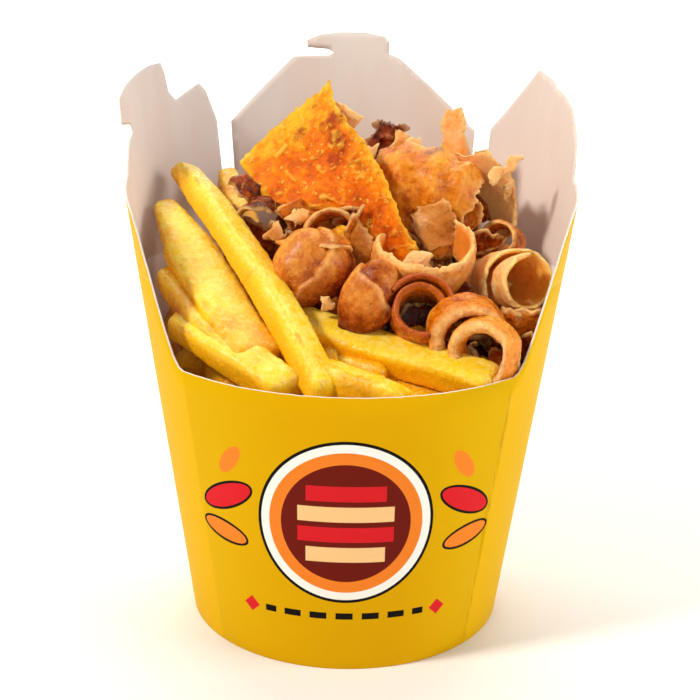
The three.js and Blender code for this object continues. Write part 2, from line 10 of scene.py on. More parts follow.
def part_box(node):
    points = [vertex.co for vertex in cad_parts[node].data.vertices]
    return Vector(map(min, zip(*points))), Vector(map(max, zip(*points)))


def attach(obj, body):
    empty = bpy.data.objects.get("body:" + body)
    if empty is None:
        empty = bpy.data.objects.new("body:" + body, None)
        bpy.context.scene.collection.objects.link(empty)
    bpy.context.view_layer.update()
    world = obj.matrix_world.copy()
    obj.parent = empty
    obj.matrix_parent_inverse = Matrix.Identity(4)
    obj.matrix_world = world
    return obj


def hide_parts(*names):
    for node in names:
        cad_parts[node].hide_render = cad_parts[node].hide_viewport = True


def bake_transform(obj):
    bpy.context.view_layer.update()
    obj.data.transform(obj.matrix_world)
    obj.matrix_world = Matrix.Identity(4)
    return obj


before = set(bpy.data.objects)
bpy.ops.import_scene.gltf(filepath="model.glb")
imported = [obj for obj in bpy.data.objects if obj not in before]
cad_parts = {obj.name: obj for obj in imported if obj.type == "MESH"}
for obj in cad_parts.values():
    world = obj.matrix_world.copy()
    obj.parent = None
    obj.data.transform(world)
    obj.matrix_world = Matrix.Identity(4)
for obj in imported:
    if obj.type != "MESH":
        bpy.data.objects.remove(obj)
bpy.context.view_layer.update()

# Kebab box: printed paperboard box with open lid flaps, fries and shaved kebab meat.
# Shapes are worked out in millimetres about the box's upright axis and stored in metres.

discLow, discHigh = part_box("floor_disc")
axisX = (discLow.x + discHigh.x) / 2
axisY = (discLow.y + discHigh.y) / 2
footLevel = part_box("wall")[0].z
perMetre = 0.001
print("frame is in, upright axis at", round(axisY, 4))


# ---- small tools

def fromHex(code, alpha=1.0):
    # sRGB hex to the linear colour that the shaders want
    parts = [int(code[place:place + 2], 16) / 255 for place in (1, 3, 5)]
    linear = [part / 12.92 if part <= 0.04045 else ((part + 0.055) / 1.055) ** 2.4 for part in parts]
    return (*linear, alpha)


def unit(vector):
    vector = np.asarray(vector, float)
    return vector / np.linalg.norm(vector)


def latticeValue(cells, seed):
    mixed = cells[..., 0] * 73856093 ^ cells[..., 1] * 19349663 ^ cells[..., 2] * 83492791 ^ (seed * 2654435761)
    mixed = (mixed ^ (mixed >> 13)) * 1274126177 & 0xFFFFFFFF
    mixed = (mixed ^ (mixed >> 15)) & 0xFFFF
    return mixed / 32767.5 - 1


def smoothNoise(points, size, seed):
    # value noise in space, from -1 to 1, with features about as large as size
    scaled = np.asarray(points, float) / size
    base = np.floor(scaled).astype(np.int64)
    part = scaled - base
    part = part * part * (3 - 2 * part)
    total = np.zeros(scaled.shape[:-1])
    for corner in np.ndindex(2, 2, 2):
        weight = np.ones_like(total)
        for direction in range(3):
            share = part[..., direction]
            weight = weight * (share if corner[direction] else 1 - share)
        total += weight * latticeValue(base + np.array(corner), seed)
    return total


def layeredNoise(points, size, seed, layers=3):
    total, strength, reach = 0, 1.0, 0.0
    for layer in range(layers):
        total = total + strength * smoothNoise(points, size / 2 ** layer, seed + 7 * layer)
        reach += strength
        strength *= 0.55
    return total / reach


def lineNoise(values, size, seed, layers=2):
    values = np.asarray(values, float)
    return layeredNoise(np.stack([values, values * 0 + seed * 3.7, values * 0], -1), size, seed, layers)


def makePiece(name, points, faces, materials, faceMaterials=None, values=None, uv=None, smooth=True):
    # points in millimetres about the upright axis; faces are equal-length index rows or a list of them
    mesh = bpy.data.meshes.new(name)
    placed = np.asarray(points, float).reshape(-1, 3) * perMetre + np.array([axisX, axisY, footLevel])
    mesh.from_pydata(placed.tolist(), [], [list(map(int, face)) for face in faces])
    for material in materials:
        mesh.materials.append(material)
    if faceMaterials is not None:
        mesh.polygons.foreach_set("material_index", np.asarray(faceMaterials, np.int32))
    mesh.polygons.foreach_set("use_smooth", np.full(len(mesh.polygons), smooth))
    for label, numbers in (values or {}).items():
        attribute = mesh.attributes.new(label, "FLOAT", "POINT")
        attribute.data.foreach_set("value", np.asarray(numbers, np.float32).ravel())
    if uv is not None:
        layer = mesh.uv_layers.new(name="boardPlace")
        corners = np.empty(len(mesh.loops), np.int32)
        mesh.loops.foreach_get("vertex_index", corners)
        layer.data.foreach_set("uv", np.asarray(uv, np.float32)[corners].ravel())
    mesh.update()
    piece = bpy.data.objects.new(name, mesh)
    bpy.context.scene.collection.objects.link(piece)
    return piece


def pieceName(node):
    first, *others = node.split("_")
    return first + "".join(word.capitalize() for word in others)


def settleInBox(piece, node=None):
    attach(piece, "box")
    if node:
        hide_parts(node)


def facingOut(points, faces):
    # turns every face round if the shape came out inside out; a few thousand faces are enough to tell
    total = 0.0
    for face in faces[:: max(1, len(faces) // 4000)]:
        first = points[face[0]]
        for second, third in zip(face[1:-1], face[2:]):
            total += np.dot(first, np.cross(points[second], points[third]))
    return [face[::-1] for face in faces] if total < 0 else faces


def gridFaces(rows, columns, closedRows=False, closedColumns=False):
    # quads over a grid of points stored row by row
    lastRow = rows if closedRows else rows - 1
    lastColumn = columns if closedColumns else columns - 1
    row, column = np.meshgrid(np.arange(lastRow), np.arange(lastColumn), indexing="ij")
    here, after = row * columns, (row + 1) % rows * columns
    nextColumn = (column + 1) % columns
    corners = [here + column, here + nextColumn, after + nextColumn, after + column]
    return np.stack(corners, -1).reshape(-1, 4)


# ---- materials

def newMaterial(name):
    material = bpy.data.materials.new(name)
    material.use_nodes = True
    material.node_tree.nodes.clear()
    return material, material.node_tree


def addNode(tree, kind, inputs=(), output=0, stops=(), **settings):
    # one node: its inputs, by number or name, are linked or set, and one of its outputs comes back
    node = tree.nodes.new(kind if "Node" in kind else "ShaderNode" + kind)
    for key, value in settings.items():
        setattr(node, key, value)
    for key, value in (inputs.items() if isinstance(inputs, dict) else enumerate(inputs)):
        if isinstance(value, bpy.types.NodeSocket):
            tree.links.new(value, node.inputs[key])
        else:
            node.inputs[key].default_value = value
    if stops:  # a ramp's colours along it
        elements = node.color_ramp.elements
        elements.remove(elements[-1])
        for index, (position, code) in enumerate(stops):
            element = elements.new(position) if index else elements[0]
            element.position, element.color = position, fromHex(code)
    return node.outputs[output] if len(node.outputs) else node


def patternOf(size, *rest):
    # a noise texture's inputs, from its real size in millimetres, detail, roughness and distortion
    return dict(zip(("Scale", "Detail", "Roughness", "Distortion"), (1 / (size * perMetre), *rest)))


def finishMaterial(tree, settings, bump=None, bumpDepth=0.1, bumpStrength=1.0):
    # the surface and the output, with a bump whose depth is in millimetres
    if bump is not None:
        raised = {"Strength": bumpStrength, "Distance": bumpDepth * perMetre, "Height": bump}
        settings = {**settings, "Normal": addNode(tree, "Bump", raised)}
    addNode(tree, "OutputMaterial", {"Surface": addNode(tree, "BsdfPrincipled", settings)})


# ---- paperboard finishes

boardLook = {
    # the deeper yellow is painted shade on the front's middle; the brighter side yellow is painted light past
    # the front's creases
    "yellow": "#D9AA00", "yellowPaintedLight": "#E2B000", "yellowPaintedShade": "#DDA600",
    "liner": "#E3D7CE", "linerShadeAndFibre": "#E0CDC0", "cutEdge": "#F5ECDF",
    "cloud": (38, 2.0, 0.55), "coatFibre": (1.3, 3.0, 0.55),
    "linerShadeStreaks": (16, 3.0, 0.55), "linerFibre": (0.9, 4.0, 0.65), "edgeFibre": (0.5, 4.0, 0.7),
    "creaseFoot": 34.9, "creaseRise": 0.1235,  # where the front's creases lie across, at the foot and per mm up
}

# the print: plain shapes in the blank's own millimetres, across from the front's middle and up from the foot
printInks = {
    "black": "#17130F", "white": "#FBF6EC", "red": "#D8232A",
    "orange": "#F2832A", "brown": "#6E1C12", "cream": "#F7C98A",
}
# a row of short dashes near the foot: spacing, half length, height, half height and reach across
dashRow = {"spacing": 6.4, "half": 2.1, "up": 15.6, "halfHigh": 0.9, "reach": 20.0}
printShapes = [
    # kind, across, up, half width, half height, turn in degrees, ink; later ones lie on earlier ones
    ("oval", 0, 41, 21.5, 21.5, 0, "black"),
    ("oval", 0, 41, 20.7, 20.7, 0, "white"),
    ("oval", 0, 41, 18.6, 18.6, 0, "orange"),
    ("oval", 0, 41, 15.6, 15.6, 0, "brown"),
    ("bar", 0, 49, 9.5, 2.0, 0, "red"),
    ("bar", 0, 43.6, 11.5, 2.0, 0, "cream"),
    ("bar", 0, 38.2, 11.5, 2.0, 0, "red"),
    ("bar", 0, 32.8, 9.5, 2.0, 0, "cream"),
]
for hand in (-1, 1):
    printShapes += [
        ("oval", hand * 31, 44.5, 8.6, 3.6, -hand * 24, "black"),
        ("oval", hand * 31, 44.5, 7.9, 2.9, -hand * 24, "red"),
        ("oval", hand * 32, 34.5, 7.6, 3.0, hand * 12, "black"),
        ("oval", hand * 32, 34.5, 6.9, 2.3, hand * 12, "orange"),
        ("oval", hand * 29.5, 54.5, 4.6, 2.2, -hand * 52, "orange"),
        ("bar", hand * 24, 15.6, 1.6, 1.6, 45, "red"),
    ]


def makePrintedBoard():
    # glossy coated yellow board with flat fields of ink; the eye sees an even, slightly soft sheen
    material, tree = newMaterial("coatedPaperboardPrinted")
    add = partial(addNode, tree)
    split = add("SeparateXYZ", (add("UVMap", uv_map="boardPlace"),)).node.outputs
    across, up = [add("Math", (value, perMetre), operation="DIVIDE") for value in split[:2]]
    aside = add("Math", (across,), operation="ABSOLUTE")
    place = add("TexCoord", output="Object")
    cloud, fibre = [add("TexNoise", {"Vector": place, **patternOf(*boardLook[label])})
                    for label in ("cloud", "coatFibre")]
    clouded = add("MapRange", (cloud, 0.3, 0.55, 0.6, 1.0))
    # the front's middle, away from its creases, is mixed towards a deeper yellow: painted shade
    paintedShadeMiddle = add("Math", (add("MapRange", (aside, 34, 12)), clouded), operation="MULTIPLY")
    # past the front's two upright creases the yellow is brighter: painted light on the side panels
    crease = add("Math", (up, boardLook["creaseRise"], boardLook["creaseFoot"]), operation="MULTIPLY_ADD")
    paintedLightPastCrease = add("MapRange", (add("Math", (aside, crease), operation="SUBTRACT"), -0.4, 0.8))
    colour = fromHex(boardLook["yellow"])
    for share, label in ((paintedShadeMiddle, "yellowPaintedShade"), (paintedLightPastCrease, "yellowPaintedLight")):
        colour = add("Mix", {0: share, 6: colour, 7: fromHex(boardLook[label])}, 2, data_type="RGBA")
    for kind, middle, height, halfWide, halfHigh, turn, ink in printShapes:
        place = [add("Math", pair, operation="SUBTRACT") for pair in ((across, middle), (up, height))]
        if turn:
            cosine, sine = math.cos(math.radians(turn)), math.sin(math.radians(turn))
            crossed = [add("Math", (place[1], sine), operation="MULTIPLY"),
                       add("Math", (place[0], -sine), operation="MULTIPLY")]
            place = [add("Math", (value, cosine, other), operation="MULTIPLY_ADD")
                     for value, other in zip(place, crossed)]
        shares = [add("Math", pair, operation="DIVIDE") for pair in zip(place, (halfWide, halfHigh))]
        if kind == "oval":
            shares = [add("Math", (share, share), operation="MULTIPLY") for share in shares]
            reach = add("Math", shares, operation="ADD")
        else:
            shares = [add("Math", (share,), operation="ABSOLUTE") for share in shares]
            reach = add("Math", shares, operation="MAXIMUM")
        inside = add("Math", (reach, 1.0), operation="LESS_THAN")
        colour = add("Mix", {0: inside, 6: colour, 7: fromHex(printInks[ink])}, 2, data_type="RGBA")
    along = add("Math", (across, dashRow["spacing"] / 2), operation="PINGPONG")
    offRow = add("Math", (add("Math", (up, dashRow["up"]), operation="SUBTRACT"),), operation="ABSOLUTE")
    limits = ((along, dashRow["half"]), (offRow, dashRow["halfHigh"]), (aside, dashRow["reach"]))
    dash, row, ends = [add("Math", limit, operation="LESS_THAN") for limit in limits]
    dashes = add("Math", (add("Math", (dash, row), operation="MULTIPLY"), ends), operation="MULTIPLY")
    colour = add("Mix", {0: dashes, 6: colour, 7: fromHex(printInks["black"])}, 2, data_type="RGBA")
    finishMaterial(tree, {"Base Color": colour, "Roughness": 0.5, "IOR": 1.48, "Specular IOR Level": 0.04},
                   fibre, 0.03, 0.35)
    return material


def makeLinerBoard():
    # bare inside of the board; the eye sees warm off-white paper, with faint upright shadows of soft wrinkles
    # painted into its colour as tall streaks
    material, tree = newMaterial("bareLinerPaperboard")
    add = partial(addNode, tree)
    place = add("TexCoord", output="Object")
    tall = add("Mapping", {"Vector": place, "Scale": (1.0, 1.0, 0.22)})
    cloud = add("TexNoise", {"Vector": tall, **patternOf(*boardLook["linerShadeStreaks"])})
    fibre = add("TexNoise", {"Vector": place, **patternOf(*boardLook["linerFibre"])})
    # the tall streaks mix in a slightly darker white: painted shade of soft wrinkles
    darkerShare = add("MapRange", (cloud, 0.38, 0.68))
    whites = {6: fromHex(boardLook["liner"]), 7: fromHex(boardLook["linerShadeAndFibre"])}
    colour = add("Mix", {0: darkerShare, **whites}, 2, data_type="RGBA")
    finishMaterial(tree, {"Base Color": colour, "Roughness": 0.72, "IOR": 1.45, "Specular IOR Level": 0.35},
                   fibre, 0.05, 0.5)
    return material


def makeCutEdge():
    # the pale fibrous core of the board where it has been cut
    material, tree = newMaterial("cutPaperboardEdge")
    add = partial(addNode, tree)
    place = add("TexCoord", output="Object")
    fibre = add("TexNoise", {"Vector": place, **patternOf(*boardLook["edgeFibre"])})
    darkerShare = add("MapRange", (fibre, 0.3, 0.75))
    whites = {6: fromHex(boardLook["cutEdge"]), 7: fromHex(boardLook["linerShadeAndFibre"])}
    colour = add("Mix", {0: darkerShare, **whites}, 2, data_type="RGBA")
    finishMaterial(tree, {"Base Color": colour, "Roughness": 0.85, "IOR": 1.45}, fibre, 0.06, 0.6)
    return material


printedBoard = makePrintedBoard()
linerBoard = makeLinerBoard()
cutEdge = makeCutEdge()
boardMaterials = [printedBoard, linerBoard, cutEdge]
print("paperboard finishes are made")


# ---- paperboard box

# millimetres, and degrees from the middle of the front
board = {
    "thickness": 0.5, "gap": 0.3, "fibre": 0.12, "warp": 0.55, "warpSize": 17, "warpReach": 45,
    "footRadius": 43.0, "taper": 0.1332, "cornerReach": 0.035, "cornerPower": 1.15,
    "frontCorner": 46.5, "backCorner": 140.0, "creaseHeight": 98.0, "foldStart": 95.0, "foldEnd": 101.0,
    "cutHeight": 74.6, "cutDip": 1.4, "footRound": [(0.25, 0.0), (0.07, 0.07), (0.0, 0.25)], "rimRound": 0.06,
    "hemHeight": 5.5, "hemDepth": 1.6, "floorHeight": 6.4, "step": 1.25, "rows": 14, "flapStep": 1.6,
}
panelCorners = [-board["frontCorner"], board["frontCorner"], board["backCorner"],
                360 - board["backCorner"], 360 - board["frontCorner"]]


def wallRadius(turn, height):
    # round at the foot, and each panel a flatter arc between its two corners higher up
    turn, height = np.broadcast_arrays(np.asarray(turn, float), np.asarray(height, float))
    angle = np.mod(turn + board["frontCorner"], 360) - board["frontCorner"]
    panel = np.clip(np.searchsorted(panelCorners, angle, side="right") - 1, 0, len(panelCorners) - 2)
    low, high = np.array(panelCorners)[panel], np.array(panelCorners)[panel + 1]
    half = np.radians((high - low) / 2)
    fromMiddle = np.radians(angle - (high + low) / 2)
    middleRadius = board["footRadius"] + board["taper"] * height
    share = np.clip(height / board["creaseHeight"], 0.0001, 1)
    reach = 1 + board["cornerReach"] * share ** board["cornerPower"]
    offset = middleRadius * (reach ** 2 - 1) / (2 * (1 - reach * np.cos(half)))
    chord = np.sqrt((middleRadius + offset) ** 2 - (offset * np.sin(fromMiddle)) ** 2)
    return chord - offset * np.cos(fromMiddle)


def wallPoint(turn, height, depth):
    radius = wallRadius(turn, height) - depth
    turn = np.radians(turn)
    return np.stack([-radius * np.sin(turn), -radius * np.cos(turn), height + 0 * radius], -1)


def boardPlace(turn, height):
    # the board's own place: millimetres round the outside from the front's middle, and height
    around = np.mod(np.asarray(turn, float) + 180, 360) - 180
    return np.stack([-np.radians(around) * wallRadius(turn, height), height + 0 * around], -1) * perMetre


# outlines as turn from the front and height: the front's rise to the crease, then each flap from its crease up
bottomOfFlaps = board["creaseHeight"] + board["gap"] / 2
frontSweep = [(46.5, 74.6), (48.4, 75.2), (50.6, 77.6), (53, 83), (55.6, 90), (58.4, 97.85)]
sideFrontEdge = [(58.8, bottomOfFlaps), (62, 105), (66, 110), (72, 113.5), (80, 115.5), (87, 117.5)]
backOutline = [
    (142.5, bottomOfFlaps), (142.8, 131), (162.5, 151), (172.5, 151.6), (174, 152.4), (172.5, 153.4),
    (166.5, 153.8), (166.3, 156), (170, 157.8), (176, 158.7), (183, 158.7), (188.5, 157.6), (190, 155.4),
    (190, 152.2), (193, 151), (208, 137.5), (217.2, 129.5), (218.2, bottomOfFlaps)]
leftOutline = sideFrontEdge + [
    (91, 122), (94.5, 126), (98.5, 128.3), (97.5, 130.3), (90.5, 130.3), (91.8, 137), (98, 140.3), (107, 144),
    (113, 146.2), (118.2, 147.2), (119.3, 144.5), (120.2, 139.2), (123, 137), (132.8, 142), (135, 140),
    (138, 131.5), (138.6, bottomOfFlaps)]
rightOutline = [(360 - turn, height) for turn, height in sideFrontEdge + [
    (91.5, 118.6), (92.2, 122), (96, 129.2), (102, 136), (108, 140), (113, 142.2), (114.8, 144),
    (122, 147.2), (137.3, 130.2), (137.8, bottomOfFlaps)]]
sweepTurns, sweepHeights = zip(*frontSweep)
sweepTurn = float(np.interp(board["foldStart"], sweepHeights, sweepTurns))
slits = [leftOutline[-1][0], backOutline[0][0], backOutline[-1][0], rightOutline[-1][0]]


def wallTop(turns):
    side = np.minimum(np.abs(turns), np.abs(360 - turns))
    front = board["cutHeight"] - board["cutDip"] * (1 - (side / board["frontCorner"]) ** 2)
    top = np.where(side <= board["frontCorner"], front, np.interp(side, sweepTurns, sweepHeights))
    top = np.where(side >= sweepTurn, board["foldStart"], top)
    between = (turns > slits[0]) & (turns < slits[1]) | (turns > slits[2]) & (turns < slits[3])
    return np.where(between, board["creaseHeight"] - board["gap"] / 2, top)


def buildWall():
    # one sleeve of board that turns in and up again at the foot, round the floor's rim
    wanted = np.arange(-board["frontCorner"], 360 - board["frontCorner"], board["step"])
    exact = [*sweepTurns, *(360 - turn for turn in sweepTurns), *panelCorners[:-1], sweepTurn, 360 - sweepTurn]
    exact += slits + [slits[0] + 0.02, slits[1] - 0.02, slits[2] + 0.02, slits[3] - 0.02]
    turns = np.unique(np.round(np.concatenate([wanted, exact]), 3))
    turns = turns[np.concatenate([[True], np.diff(turns) > 0.015])]
    nearFront = np.minimum(np.abs(turns), np.abs(360 - turns)) < sweepTurn
    ragged = lineNoise(turns, 1.4, 5) * board["fibre"] * nearFront
    thick, deep, rows = board["thickness"], board["hemDepth"], board["rows"]
    footRound, rimRound, hemHeight = board["footRound"], board["rimRound"], board["hemHeight"]
    lift, turned = footRound[-1][1], thick + 0.2  # where the outer and the inner face leave the foot
    shares = np.linspace(0.03, 1, rows)
    profiles = []
    for high in wallTop(turns) + ragged:
        outside = [(0.0, lift + share * (high - lift - rimRound)) for share in shares]
        rim = [(rimRound, high), (thick / 2, high + 0.02), (thick - rimRound, high)]
        inside = [(thick, turned + share * (high - turned - rimRound)) for share in shares[::-1]]
        hem = [(thick + 0.12, thick), (deep, thick), (deep, hemHeight), (deep + thick, hemHeight)]
        hem += [(deep + thick - depth, height) for depth, height in footRound[::-1]]
        profiles.append(footRound + outside + rim + inside + hem)
    profile = np.array(profiles)
    size = profile.shape[1]
    turnGrid = np.repeat(turns[:, None], size, 1)
    points = wallPoint(turnGrid, profile[..., 1], profile[..., 0]).reshape(-1, 3)
    faces = facingOut(points, gridFaces(len(turns), size, True, True))
    column = np.tile(np.arange(size), len(turns))
    kinds = np.where(column < rows + 2, 0, np.where(column < rows + 6, 2, 1))
    uv = boardPlace(turnGrid, profile[..., 1]).reshape(-1, 2)
    return makePiece("printedWall", points, faces, boardMaterials, kinds, uv=uv)


def denseOutline(outline, spacing=1.0):
    # the same outline with more points along it
    corners = np.array(outline, float)
    dense = []
    for first, second in zip(corners, np.roll(corners, -1, 0)):
        steps = max(1, int(np.hypot(*(second - first)) / spacing))
        dense += [first + (second - first) * step / steps for step in range(steps)]
    return np.array(dense)


def buildFlap(name, outline, seed):
    # the flap's sheet starts below its crease, on the wall
    low, step = board["foldStart"], board["flapStep"]
    first, last = outline[0][0], outline[-1][0]
    start = [(first, low)]
    if outline is not backOutline:  # a side flap's crease runs on to the front's sweep
        start = [(sweepTurn, low), frontSweep[-1]]
        start = [(turn if first < 180 else 360 - turn, height) for turn, height in start]
    edge = denseOutline(start + outline + [(last, low)])
    turnRange = np.arange(edge[:, 0].min() + step / 2, edge[:, 0].max(), step)
    heightRange = np.arange(low + step * 0.6, edge[:, 1].max(), step)
    inner = np.array([(turn, height) for turn in turnRange for height in heightRange])
    apart = np.sqrt(((inner[:, None, :] - edge[None, :, :]) ** 2).sum(-1)).min(1)
    points = [Vector(point) for point in np.concatenate([edge, inner[apart > 0.7]])]
    flat, _, triangles, *_ = delaunay_2d_cdt(points, [], [list(range(len(edge)))], 1, 1e-5)
    flat = np.array([tuple(point) for point in flat])
    triangles = np.array([list(triangle) for triangle in triangles])
    turn, height = flat.T
    above = np.clip((height - board["foldEnd"]) / board["warpReach"], 0, 1)
    place = np.stack([turn, height * 0.35, turn * 0 + seed], -1)
    warp = layeredNoise(place, board["warpSize"], seed, 2) * board["warp"] * above
    outer = wallPoint(turn, height, warp)
    points = np.concatenate([outer, wallPoint(turn, height, warp + board["thickness"])])
    total = len(flat)
    # boundary edges are each used by one triangle only
    pairs = {}
    for a, b, c in triangles:
        for pair in ((a, b), (b, c), (c, a)):
            key = tuple(sorted(pair))
            pairs[key] = None if key in pairs else pair
    rim = [(a, b) for a, b in filter(None, pairs.values()) if max(height[a], height[b]) >= low + 0.01]
    faces = [list(triangle) for triangle in triangles]
    faces += [[c + total, b + total, a + total] for a, b, c in triangles]
    faces += [[b, a, a + total, b + total] for a, b in rim]
    kinds = [0] * len(triangles) + [1] * len(triangles) + [2] * len(rim)
    first, second, third = (outer[triangles[:, corner]] for corner in range(3))
    normal = np.cross(second - first, third - first)
    if (normal[:, :2] * first[:, :2]).sum() < 0:
        faces = [face[::-1] for face in faces]
    uv = np.concatenate([boardPlace(turn, height)] * 2)
    return makePiece(name, points, faces, boardMaterials, kinds, uv=uv)


def buildFloor():
    # the floor disc, with its rim turned down into the wall's hem
    thick, high = board["thickness"], board["floorHeight"]
    rim = thick + board["gap"]
    under = high - thick
    profile = [
        (rim + 30, high), (rim + 12, high), (rim + 0.3, high), (rim + 0.08, high - 0.08), (rim, high - 0.3),
        (rim, rim), (rim + thick, rim), (rim + thick, under), (rim + 12, under), (rim + 30, under)]
    turns, size = np.arange(0, 360, 4.0), len(profile)
    turnGrid, spot = np.meshgrid(turns, np.arange(size), indexing="ij")
    depth, height = np.array(profile)[spot].transpose(2, 0, 1)
    points = wallPoint(turnGrid, height, depth).reshape(-1, 3)
    faces = [list(face) for face in gridFaces(len(turns), size, True, False)]
    top = len(points)
    points = np.concatenate([points, [[0, 0, high], [0, 0, under]]])
    for ring in range(len(turns)):
        here, after = ring * size, (ring + 1) % len(turns) * size
        faces += [[here, after, top], [here + size - 1, top + 1, after + size - 1]]
    return makePiece("floorDisc", points, facingOut(points, faces), [linerBoard])


settleInBox(buildWall(), "wall")
settleInBox(buildFloor(), "floor_disc")
flaps = {
    "backFlap": (backOutline, "back_flap", "back_lid", 31),
    "leftFlap": (leftOutline, "left_flap", "left_lid", 32),
    "rightFlap": (rightOutline, "right_flap", "right_lid", 33),
}
for name, (outline, node, lid, seed) in flaps.items():
    flap = buildFlap(name, outline, seed)
    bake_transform(flap)
    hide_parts(node)
print("paperboard box is built")


# ---- food finishes

fryLook = {
    "stops": [(0.24, "#E89C00"), (0.42, "#F7B800"), (0.6, "#FDD01C")],
    "floury": "#FFEC86", "side": "#F7AC00", "amber": "#B86002", "hollow": "#EBA004",
    "flouryShare": 0.5, "sideShare": 0.75, "amberShare": 0.6, "hollowShadeShare": 0.22, "toneReach": 0.42,
    # patches, grain, fine specks and pebbles of the crust
    "patterns": ((9.0, 3.0, 0.55), (3.2, 4.0, 0.65), (0.6, 3.0, 0.6), (1.3, 3.0, 0.6)),
}


def makeFriedPotato(look):
    # fried potato: yellow tops with pale floury blisters, deeper gold sides, amber at corners and ends; the
    # gold of the sides and the darker hollows are painted shade, the pale raised pebbles and the blisters'
    # place on the tops painted light
    material, tree = newMaterial("deepFriedPotato")
    add = partial(addNode, tree)
    place = add("TexCoord", output="Object")
    patches, grain, fine, pebbles = [
        add("TexNoise", {"Vector": place, **patternOf(*pattern)}) for pattern in look["patterns"]]
    corner, tip, lid, tone = [add("Attribute", output="Fac", attribute_name=label)
                              for label in ("corner", "tip", "lid", "tone")]
    # tone, set per fry, moves the whole level; it carries painted light and shade as well as each fry's own
    # colour
    level = add("Math", (tone, look["toneReach"], patches), operation="MULTIPLY_ADD")
    floury, amber, hollow, side = (fromHex(look[label]) for label in ("floury", "amber", "hollow", "side"))
    browned = add("MapRange", (level, 0.5, 0.25))
    shadedSideColour = add("Mix", {0: browned, 6: side, 7: amber}, 2, data_type="RGBA")
    # faces turned away from the top take the deeper gold side colour: painted shade, with amber browning mixed
    # in where the level is low
    paintedSideShade = add("Math", (add("MapRange", (lid, 0.62, 0.1)), look["sideShare"]), operation="MULTIPLY")
    # the pale floury blisters are kept to faces turned up: real blisters, with painted light on the tops
    speckled, paintedTopLight, pale = [add("MapRange", values) for values in (
        (grain, 0.42, 0.64), (lid, 0.3, 0.85), (level, 0.34, 0.58))]
    blisters = add("Math", (speckled, paintedTopLight), operation="MULTIPLY")
    blisters = add("Math", (blisters, pale), operation="MULTIPLY")
    blisters = add("Math", (blisters, look["flouryShare"]), operation="MULTIPLY")
    # caught at the corners, at the ends and in specks
    places = ((add("MapRange", (corner, 0.4, 1.0)), add("MapRange", (patches, 0.56, 0.7))),
              (tip, add("MapRange", (grain, 0.5, 0.7))), (add("MapRange", (fine, 0.68, 0.76)), 0.5))
    atCorners, atEnds, inSpecks = [add("Math", pair, operation="MULTIPLY") for pair in places]
    caught = add("Math", (add("Math", (atCorners, atEnds), operation="MAXIMUM"), inSpecks), operation="MAXIMUM")
    caught = add("Math", (caught, look["amberShare"]), operation="MULTIPLY")
    # the low spots between the pebbles take a darker gold: painted shade in the hollows
    hollowShades = add("Math", (add("MapRange", (pebbles, 0.46, 0.34)), look["hollowShadeShare"]), operation="MULTIPLY")
    # raised pebbles on faces turned up take the pale floury colour: painted highlight
    raised = add("MapRange", (pebbles, 0.54, 0.66))
    paintedPebbleHighlights = add("Math", (raised, add("Math", (lid, 0.5), operation="MULTIPLY")), operation="MULTIPLY")
    colour = add("ValToRGB", (level,), stops=look["stops"])
    layers = (paintedSideShade, shadedSideColour), (blisters, floury), (caught, amber), (hollowShades, hollow), (paintedPebbleHighlights, floury)
    for share, over in layers:
        colour = add("Mix", {0: share, 6: colour, 7: over}, 2, data_type="RGBA")
    height = add("Math", (fine, 0.35), operation="MULTIPLY")
    height = add("Math", (pebbles, 0.9, height), operation="MULTIPLY_ADD")
    finishMaterial(tree, {
        "Base Color": colour, "Roughness": add("MapRange", (pebbles, 0.3, 0.7, 0.18, 0.36)), "IOR": 1.46,
        "Subsurface Weight": 0.15, "Subsurface Radius": (1.0, 0.5, 0.05), "Subsurface Scale": 0.0014,
        "Specular IOR Level": 0.4}, height, 0.5, 0.7)
    return material


